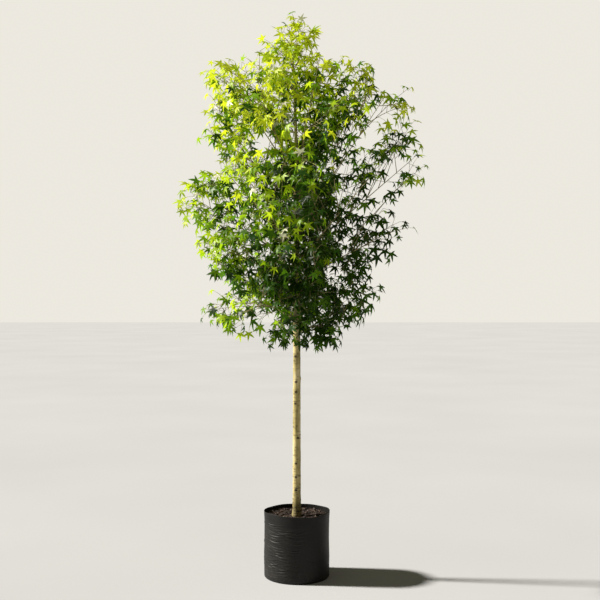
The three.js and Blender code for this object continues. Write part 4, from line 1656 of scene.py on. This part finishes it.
@dataclass
class Trunk:
    """Trunk: true taper and lean, ring wrinkles at the flare, pruning scars and bough collars."""

    crown: Crown
    seed: int = 2
    ring_gap: float = 0.0025
    crown_ring_gap: float = 0.006
    crown_foot: float = 1.4
    sides: int = 56
    sunk: float = 0.026
    front_scars: tuple[Span, ...] = (
        (1.2175, -0.0078), (1.0757, -0.0044), (1.02, -0.0044), (0.956, -0.0078),
        (0.767, 0.0072), (0.625, -0.0044), (0.55, -0.0044), (0.478, -0.0044),
    )
    front_scar: Numbers = (0.0084, 0.0066, 0.002, 1.0)
    hidden_scars: int = 9
    hidden_scar: Numbers = (0.0055, 0.0045, 0.0016, 0.9)
    hidden_heights: Span = (0.45, 1.3)
    hidden_turns: Span = (0.2, math.pi - 0.2)
    stub: TrunkMark = TrunkMark(1.092, -0.15, 0.007, 0.006, 0.0055, 0.45)
    notches: int = 150
    notch_foot: float = 0.36
    notch_climb: float = 0.95
    notch_power: float = 1.7
    notch_half_widths: Span = (0.004, 0.011)
    notch_half_heights: Span = (0.0014, 0.0026)
    notch_rise: float = 0.0006
    notch_dark: float = 0.6
    waves: int = 9
    rough_scale: float = 0.05
    rough_rise: float = 0.00045
    fine_scale: float = 0.014
    fine_rise: float = 0.00028
    fine_dark: float = 0.22
    fine_dark_from: Span = (0.9, 1.6)
    full_relief: float = 0.022
    least_relief: float = 0.25
    ring_length: float = 0.019
    ring_sway: float = 1.1
    ring_wander: float = 1.5
    ring_fade: float = 0.13
    ring_depth: float = 0.0014
    ring_dark: float = 0.85
    shade: float = 0.5
    shade_rise: Span = (1.27, 1.5)
    shade_fall: Span = (2.35, 2.1)
    foot_dark: float = 0.4
    foot_dark_height: float = 0.09
    collar: float = 0.32
    collar_width: float = 1.5
    collar_height: float = 2.1
    collar_search: float = 0.4
    collar_steps: int = 81

    def marks(self, rng: np.random.Generator) -> list[TrunkMark]:
        """Scars at the front by height and offset, others round the back, a stub on the right and notches."""
        found = []
        for z, x in self.front_scars:
            turn = FRONT + math.asin(x / float(self.crown.rule.trunk_radius(z)))
            found.append(TrunkMark(z, turn, *self.front_scar))
        for _ in range(self.hidden_scars):
            z, turn = rng.uniform(*self.hidden_heights), rng.uniform(*self.hidden_turns)
            found.append(TrunkMark(z, turn, *self.hidden_scar))
        found.append(self.stub)
        for _ in range(self.notches):
            z = self.notch_foot + self.notch_climb * rng.uniform() ** self.notch_power
            turn = rng.uniform(0, FULL_TURN)
            width, height = rng.uniform(*self.notch_half_widths), rng.uniform(*self.notch_half_heights)
            found.append(TrunkMark(z, turn, width, height, self.notch_rise, self.notch_dark))
        return found

    def relief(self, turn: Array, z: Array, radius: Array) -> tuple[Array, Array]:
        """Relief of the bark and its dark marks.

        The relief is low sines, less on thin wood, plus ring wrinkles that fade upwards from the flare, plus
        a swelling at each mark and a bell-shaped collar at each bough's root. The bark is darker in rings
        and marks, at the foot and in the shade of the crown.

        Args:
            turn: turns round the trunk, s.
            z: heights, k by 1.
            radius: plain radius, k by s.

        Returns:
            Outward shift, and darkness from 0 to 1, both k by s.
        """
        foot = self.crown.rule.foot
        rng = np.random.default_rng(self.seed)
        slim = np.clip(radius / self.full_relief, self.least_relief, 1)
        rough = ripples(z, turn, rng, self.waves, self.rough_scale)
        fine = ripples(z, turn, rng, self.waves, self.fine_scale)
        bent = self.ring_sway * np.sin(2 * turn + 9 * z) + self.ring_wander * rough
        wave = np.sin(FULL_TURN / self.ring_length * z + bent)
        rings = (1 - np.abs(wave)) ** 3 * np.exp(-(z - foot) / self.ring_fade)
        shift = slim * (self.rough_rise * rough + self.fine_rise * fine) - self.ring_depth * rings
        dark = self.ring_dark * rings * (0.6 + 0.4 * np.sin(turn * 3 + 40 * z))
        dark = dark + self.fine_dark * smooth_step(fine, *self.fine_dark_from)
        # Painted shade: the trunk is darkened where the crown shades it
        dark = dark + self.shade * smooth_step(z, *self.shade_rise) * smooth_step(z, *self.shade_fall)
        dark = dark + self.foot_dark * np.exp(-(((z - foot) / self.foot_dark_height) ** 2))
        for mark in self.marks(rng):
            more_shift, more_dark = mark.swell(turn, z, radius)
            shift = shift + more_shift
            dark = dark + more_dark
        for root, direction, size in self.collars():
            side = wrapped(turn - direction) * radius / (self.collar_width * size)
            apart = np.hypot(side, (z - root) / (self.collar_height * size))
            shift = shift + self.collar * size * np.exp(-(apart**2))
        return shift, np.clip(dark, 0, 1)

    def build(self) -> None:
        """Makes the trunk: a circle of the taper's radius and relief, carried up the leaning centre line."""
        rule = self.crown.rule
        bare = np.arange(rule.foot - self.sunk, self.crown_foot, self.ring_gap)
        leafy = np.arange(self.crown_foot, rule.tip, self.crown_ring_gap)
        heights = np.concatenate([bare, leafy, [rule.tip]])
        turn = turns(self.sides)
        z = heights[:, None]
        radius = rule.trunk_radius(z) * np.ones_like(turn)
        shift, dark = self.relief(turn, z, radius)
        rings = rule.trunk_centre(z) + around(radius + shift, turn)
        middle = rule.trunk_centre(heights[[0, -1]])
        surface = ringed(rings[None], middle[:1], middle[1:])
        surface.marks["scar"] = np.concatenate([dark.ravel(), [0, 0]])
        bark = BarkFinish("trunk_bark", "e2d3a5", "bdad70", "81763e")
        surface.piece("trunk_bark", [bark.build()], "trunk_bark", ["trunk"])

    def collars(self) -> list[tuple[float, float, float]]:
        """Height, turn and size of each bough's root: the first point of its line outside the bark."""
        rule = self.crown.rule
        shares = np.linspace(0, self.collar_search, self.collar_steps)
        paths = curve_points(self.crown.stems.controls, shares)
        leaves_bark = np.argmax(rule.gap_to_trunk(paths) > 0, axis=1)
        point = paths[np.arange(len(paths)), leaves_bark]
        return list(zip(point[:, 2], rule.from_trunk(point)[1], self.crown.stems.radius))


@dataclass
class Pot:
    """Straight-sided pot of flexible black film, creased round its side and a little wavy at the rim."""

    radius: float = 0.18
    height: float = 0.364
    wall: float = 0.003
    foot_round: float = 0.009
    inner_floor: float = 0.29
    innermost: float = 0.02
    sides: int = 220
    row_gap: float = 0.0019
    seed: int = 21
    bulge: float = 0.0009
    bulge_waves: int = 8
    bulge_scale: float = 0.16
    creases: int = 150
    left_share: float = 0.62
    left_turn: float = FRONT - 0.75
    left_spread: float = 0.45
    left_levels: Span = (0.025, 0.33)
    levels: Span = (0.02, 0.34)
    crease_reach: Span = (0.07, 0.3)
    crease_half: Span = (0.0022, 0.0042)
    crease_tilt: float = 0.018
    crease_sway: float = 0.004
    crease_size: Span = (0.5, 1.25)
    crease_rise: float = 0.0014
    crease_dip: float = 0.7
    dip_below: float = 1.7
    crease_dust: float = 0.24
    weaker: float = 0.45
    foot_free: Span = (0.002, 0.02)
    rim_height: float = 0.05
    rim_waves: tuple[Triple, ...] = ((0.0022, 2, 0.6), (0.0016, 3, 2.1), (0.0008, 7, 0.0))
    rim_bulge: Triple = (0.0022, 2, 1.9)
    rim_drop: float = 0.0015
    lit_turn: float = FRONT - 0.9
    low_dust: Span = (0.03, 0.05)
    dust_shares: Triple = (0.2, 0.8, 0.3)
    outer_rows: float = 0.72

    def profile(self) -> tuple[Array, Array]:
        """Outline from the middle of the underside, up the wall, over the rim and down inside.

        Returns:
            Radii and heights.
        """
        under = np.linspace(self.innermost, self.radius - self.foot_round, 8)
        bend = np.linspace(0, math.pi / 2, 7)[1:]
        rise = np.arange(self.foot_round + self.row_gap, self.height - self.wall / 2, self.row_gap)
        lip = np.linspace(0, math.pi, 7)
        down = np.arange(self.height - self.wall, self.inner_floor, -2 * self.row_gap)
        within = np.linspace(self.radius - self.wall, self.innermost, 6)[1:]
        middle = self.radius - self.wall / 2
        radii = np.concatenate([
            under, self.radius - self.foot_round * (1 - np.sin(bend)), np.full(len(rise), self.radius),
            middle + self.wall / 2 * np.cos(lip), np.full(len(down), self.radius - self.wall), within,
        ])
        heights = np.concatenate([
            np.zeros(len(under)), self.foot_round * (1 - np.cos(bend)), rise,
            self.height - self.wall / 2 + self.wall / 2 * np.sin(lip), down, np.full(len(within), down[-1]),
        ])
        return radii, heights

    def relief(self, turn: Array, z: Array, rng: np.random.Generator) -> tuple[Array, Array]:
        """Creases and waves of the wall.

        Each crease is a ridge along the turn: a bell across a slightly tilted line times a bell along it,
        with a dip below it. More of them, and stronger ones, are on the front's left. Broad sines bulge the
        wall.

        Args:
            turn: turns, 1 by s.
            z: heights, k by 1.
            rng: seeded draws.

        Returns:
            Outward shift, and dust with painted sheen on the ridges, from 0 to 1.
        """
        shift = self.bulge * ripples(z, turn, rng, self.bulge_waves, self.bulge_scale)
        dust = np.zeros(np.broadcast(turn, z).shape)
        for _ in range(self.creases):
            left = rng.uniform() < self.left_share
            at = rng.normal(self.left_turn, self.left_spread) if left else rng.uniform(0, FULL_TURN)
            level = rng.uniform(*(self.left_levels if left else self.levels))
            reach, half = rng.uniform(*self.crease_reach), rng.uniform(*self.crease_half)
            tilt = rng.normal(0, self.crease_tilt)
            away = wrapped(turn - at)
            line = (z - level - tilt * away - self.crease_sway * np.sin(away * 7 + at)) / half
            along = np.exp(-((away / reach) ** 2))
            ridge = np.exp(-(line**2)) * along
            dip = np.exp(-((line + self.dip_below) ** 2)) * along
            size = rng.uniform(*self.crease_size) * (1.0 if left else self.weaker)
            shift = shift + self.crease_rise * size * (ridge - self.crease_dip * dip)
            # Ridges take grey that is partly dust and partly a painted highlight
            dust = dust + self.crease_dust * size * ridge
        return shift, dust

    def build(self) -> None:
        """Makes the pot: the outline turned round, shifted outwards by the creases and up at the rim.

        The rim waves up and down by three sines of the turn and bulges by one; each is a size, a number of
        waves and a start. A grey, partly dust and partly painted sheen, lies on the lit side only: evenly, on
        ridges and above the foot.
        """
        rng = np.random.default_rng(self.seed)
        radii, heights = self.profile()
        turn = turns(self.sides)[None]
        z = heights[:, None]
        shift, dust = self.relief(turn, z, rng)
        wall = (radii[:, None] > self.radius - 1.5 * self.wall) * smooth_step(z, *self.foot_free)
        rim = smooth_step(z, self.height - self.rim_height, self.height)
        sines = (self.rim_bulge, *self.rim_waves)
        bulge, *waves = (size * np.sin(count * turn + start) for size, count, start in sines)
        reach = radii[:, None] + (shift + bulge * rim) * wall
        rings = around(reach, turn, z + (sum(waves) - self.rim_drop) * rim * wall)
        ends = np.array([[0, 0, 0.0], [0, 0, heights[-1]]])
        surface = ringed(rings[None], ends[:1], ends[1:])
        # Painted sheen: the grey is strongest on the side that faces the lamp
        lit = 0.5 + 0.5 * np.cos(turn - self.lit_turn)
        level, half = self.low_dust
        low = np.exp(-((z - level) / half) ** 2)
        outside = (np.arange(len(radii)) < len(radii) * self.outer_rows)[:, None]
        even, creased, lower = self.dust_shares
        dust_and_painted_sheen_amount = np.clip(even * lit**2 + creased * dust * lit + lower * low * lit, 0, 1) * outside
        surface.marks["dust"] = np.concatenate([dust_and_painted_sheen_amount.ravel(), [0, 0]])
        surface.piece("pot_wall", [PotFinish().build()], "pot", ["pot"])


@dataclass
class Soil:
    """Bark compost: an uneven bed with chips lying on it."""

    pot: Pot
    trunk_radius: float
    edge: float = 0.342
    dome: float = -0.014
    depth: float = 0.03
    heap: float = 0.0026
    crumb: float = 0.0011
    rim_width: float = 0.012
    rim_drop: float = 0.004
    rows: int = 70
    sides: int = 180
    innermost: float = 0.004
    wall_gap: float = 0.003
    under_reach: float = 0.02
    chips: int = 4200
    rim_room: float = 0.016
    chip_shape: float = 3.0
    chip_scale: float = 0.0014
    chip_half: Span = (0.0014, 0.0095)
    chip_breadth: Span = (0.3, 0.75)
    chip_thickness: Span = (0.14, 0.4)
    chip_tilt: float = 0.38
    chip_wear: Span = (0.55, 1.1)
    chip_mix: Numbers = (0.48, 0.28, 0.17, 0.07)
    seed: int = 31

    def height(self, reach: Array, turn: Array) -> Array:
        """Height of the bed: a shallow bowl, heaped unevenly by sines of the place.

        Args:
            reach: distance from the middle.
            turn: turn round it.

        Returns:
            Heights above the ground.
        """
        x, y = reach * np.cos(turn), reach * np.sin(turn)
        heaps = np.sin(61 * x + 1) * np.sin(53 * y) + 0.7 * np.sin(117 * x - 71 * y)
        heaps = heaps + 0.5 * np.sin(190 * y + 90 * x)
        crumbs = np.sin(420 * x + 310 * y) * np.sin(390 * y - 260 * x)
        inside = self.pot.radius - self.pot.wall
        bowl = self.edge + self.dome * (1 - np.clip(reach / inside, 0, 1) ** 2)
        near_rim = smooth_step(reach, inside - self.rim_width, inside)
        return bowl + self.heap * heaps + self.crumb * crumbs - self.rim_drop * near_rim

    def bed(self) -> Surface:
        """Bed of compost: the height over a disc, with an edge and an underside out of sight."""
        inside = self.pot.radius - self.pot.wall - self.wall_gap
        turn = turns(self.sides)[None]
        reach = np.linspace(inside, self.innermost, self.rows)[:, None]
        tops = self.height(reach, turn)
        under = np.array([[self.under_reach], [inside - self.rim_width]])
        lows = np.full((2, self.sides), self.edge - self.depth)
        radii = np.concatenate([under, reach]) * np.ones_like(turn)
        heights = np.concatenate([lows, tops])
        rings = around(radii, turn, heights)
        ends = np.array([[0, 0, self.edge - self.depth], [0, 0, float(tops[-1].mean())]])
        return ringed(rings[None], ends[:1], ends[1:])

    def scattered(self) -> Surface:
        """Chips: small uneven blocks, each turned at random and lying nearly flat on the bed.

        A block's corner is its half sizes with their signs, pushed a little at random, carried by three
        directions square to each other and set on the bed's height.

        Returns:
            The joined chips.
        """
        rng = np.random.default_rng(self.seed)
        count = self.chips
        reach = np.sqrt(rng.uniform(self.trunk_radius**2, (self.pot.radius - self.rim_room) ** 2, count))
        turn = rng.uniform(0, FULL_TURN, count)
        long = rng.gamma(self.chip_shape, self.chip_scale, count).clip(*self.chip_half)
        broad = long * rng.uniform(*self.chip_breadth, count)
        thick = long * rng.uniform(*self.chip_thickness, count)
        half = np.stack([long, broad, thick], axis=-1)
        yaw = rng.uniform(0, FULL_TURN, count)
        tilt = rng.normal(0, self.chip_tilt, (count, 2))
        first = unit(np.stack([np.cos(yaw), np.sin(yaw), np.sin(tilt[:, 0])], axis=-1))
        over = unit(UP + np.stack([np.sin(tilt[:, 1]), np.cos(tilt[:, 1]) - 1, np.zeros(count)], axis=-1))
        second = unit(np.cross(over, first))
        third = np.cross(first, second)
        square = np.array([[-1, -1], [1, -1], [1, 1], [-1, 1]])
        signs = np.concatenate([np.insert(square, 2, level, axis=1) for level in (-1, 1)])
        corner = signs * half[:, None] * rng.uniform(*self.chip_wear, (count, len(signs), 3))
        level = self.height(reach, turn) + thick / 2
        place = around(reach, turn, level)
        axes = (first, second, third)
        points = place[:, None] + sum(corner[..., i, None] * axis[:, None] for i, axis in enumerate(axes))
        quads = np.array([[0, 3, 2, 1], [4, 5, 6, 7], [0, 1, 5, 4], [1, 2, 6, 5], [2, 3, 7, 6], [3, 0, 4, 7]])
        corners = quads + (np.arange(count) * len(signs))[:, None, None]
        tints = np.repeat(rng.choice(len(self.chip_mix), count, p=self.chip_mix), len(quads))
        return Surface(points.reshape(-1, 3), corners.ravel(), np.full(count * len(quads), 4), tints)

    def build(self) -> None:
        """Makes the bed and the chips."""
        bed = CompostFinish("compost_bed", "140e0b", "2e221b")
        self.bed().piece("soil_bed", [bed.build()], "soil", ["soil"])
        chips = [
            CompostFinish("chip_dark", "1b130f", "32261f"),
            CompostFinish("chip_brown", "36271d", "533e31"),
            CompostFinish("chip_grey", "443a38", "5f5350"),
            CompostFinish("chip_pale", "5f544a", "857668"),
        ]
        chipped = self.scattered().piece("soil_chips", [chip.build() for chip in chips], "soil", ["soil"])
        chipped.data.polygons.foreach_set("use_smooth", np.zeros(len(chipped.data.polygons), bool))


@dataclass
class Studio:
    """Pale floor, one broad soft lamp from the left, an even dim surround and the camera."""

    lens: float = 57.3
    sensor: float = 36.0
    far_limit: float = 200.0
    floor_half: float = 60.0
    lamp_from: Triple = (-0.83, 0.08, 0.54)
    lamp_power: float = 7.3
    lamp_breadth: float = math.radians(5)
    lamp_colour: Colour = (1.0, 0.95, 0.87)
    surround: Colour = (1.0, 0.92, 0.68)
    surround_power: float = 0.11
    backdrop: Colour = (0.84, 0.81, 0.74)

    def build(self) -> None:
        """Lays the floor, sets the lamp and the surround, and sets up the camera."""
        scene = bpy.context.scene
        corners = np.array([[-1, -1, 0], [1, -1, 0], [1, 1, 0], [-1, 1, 0]]) * self.floor_half
        mesh = bpy.data.meshes.new("floor")
        mesh.from_pydata(corners.tolist(), [], [(0, 1, 2, 3)])
        mesh.materials.append(FloorFinish().build())
        floor = placed("floor", mesh)
        light = bpy.data.lights.new("lamp", "SUN")
        light.energy = self.lamp_power
        light.angle = self.lamp_breadth
        light.color = self.lamp_colour
        lamp = placed("lamp", light)
        lamp.rotation_euler = Vector(self.lamp_from).to_track_quat("Z", "Y").to_euler()
        scene.world = self.room()
        scene.view_settings.view_transform = "Standard"
        camera = bpy.data.cameras.new("camera")
        camera.lens = self.lens
        camera.sensor_width = self.sensor
        camera.clip_end = self.far_limit
        viewer = placed("camera", camera)
        viewer.location = EYE
        viewer.rotation_euler = (math.pi / 2, 0, 0)
        scene.camera = viewer

    def room(self) -> bpy.types.World:
        """World that lights the plant dimly and shows the camera a pale backdrop."""
        world = bpy.data.worlds.new("studio")
        world.use_nodes = True
        tree = world.node_tree
        dim = tree.nodes["Background"]
        dim.inputs["Color"].default_value = (*self.surround, 1.0)
        dim.inputs["Strength"].default_value = self.surround_power
        pale = tree.nodes.new("ShaderNodeBackground")
        pale.inputs["Color"].default_value = (*self.backdrop, 1.0)
        chosen = tree.nodes.new("ShaderNodeMixShader")
        tree.links.new(tree.nodes.new("ShaderNodeLightPath").outputs["Is Camera Ray"], chosen.inputs[0])
        tree.links.new(dim.outputs[0], chosen.inputs[1])
        tree.links.new(pale.outputs[0], chosen.inputs[2])
        tree.links.new(chosen.outputs[0], tree.nodes["World Output"].inputs["Surface"])
        return world


def main() -> None:
    """Builds the plant from the ground up, then the studio."""
    logging.basicConfig(level=logging.INFO, format="%(name)s %(message)s")
    rule = GrowthRule()
    crown = Crown(rule)
    pot = Pot()
    pot.build()
    Soil(pot, rule.radii[0]).build()
    Trunk(crown).build()
    foliage = Foliage(crown)
    Boughs(crown).build()
    Twigs(crown).build()
    foliage.build()
    Studio().build()


if __name__ == "__main__":
    main()
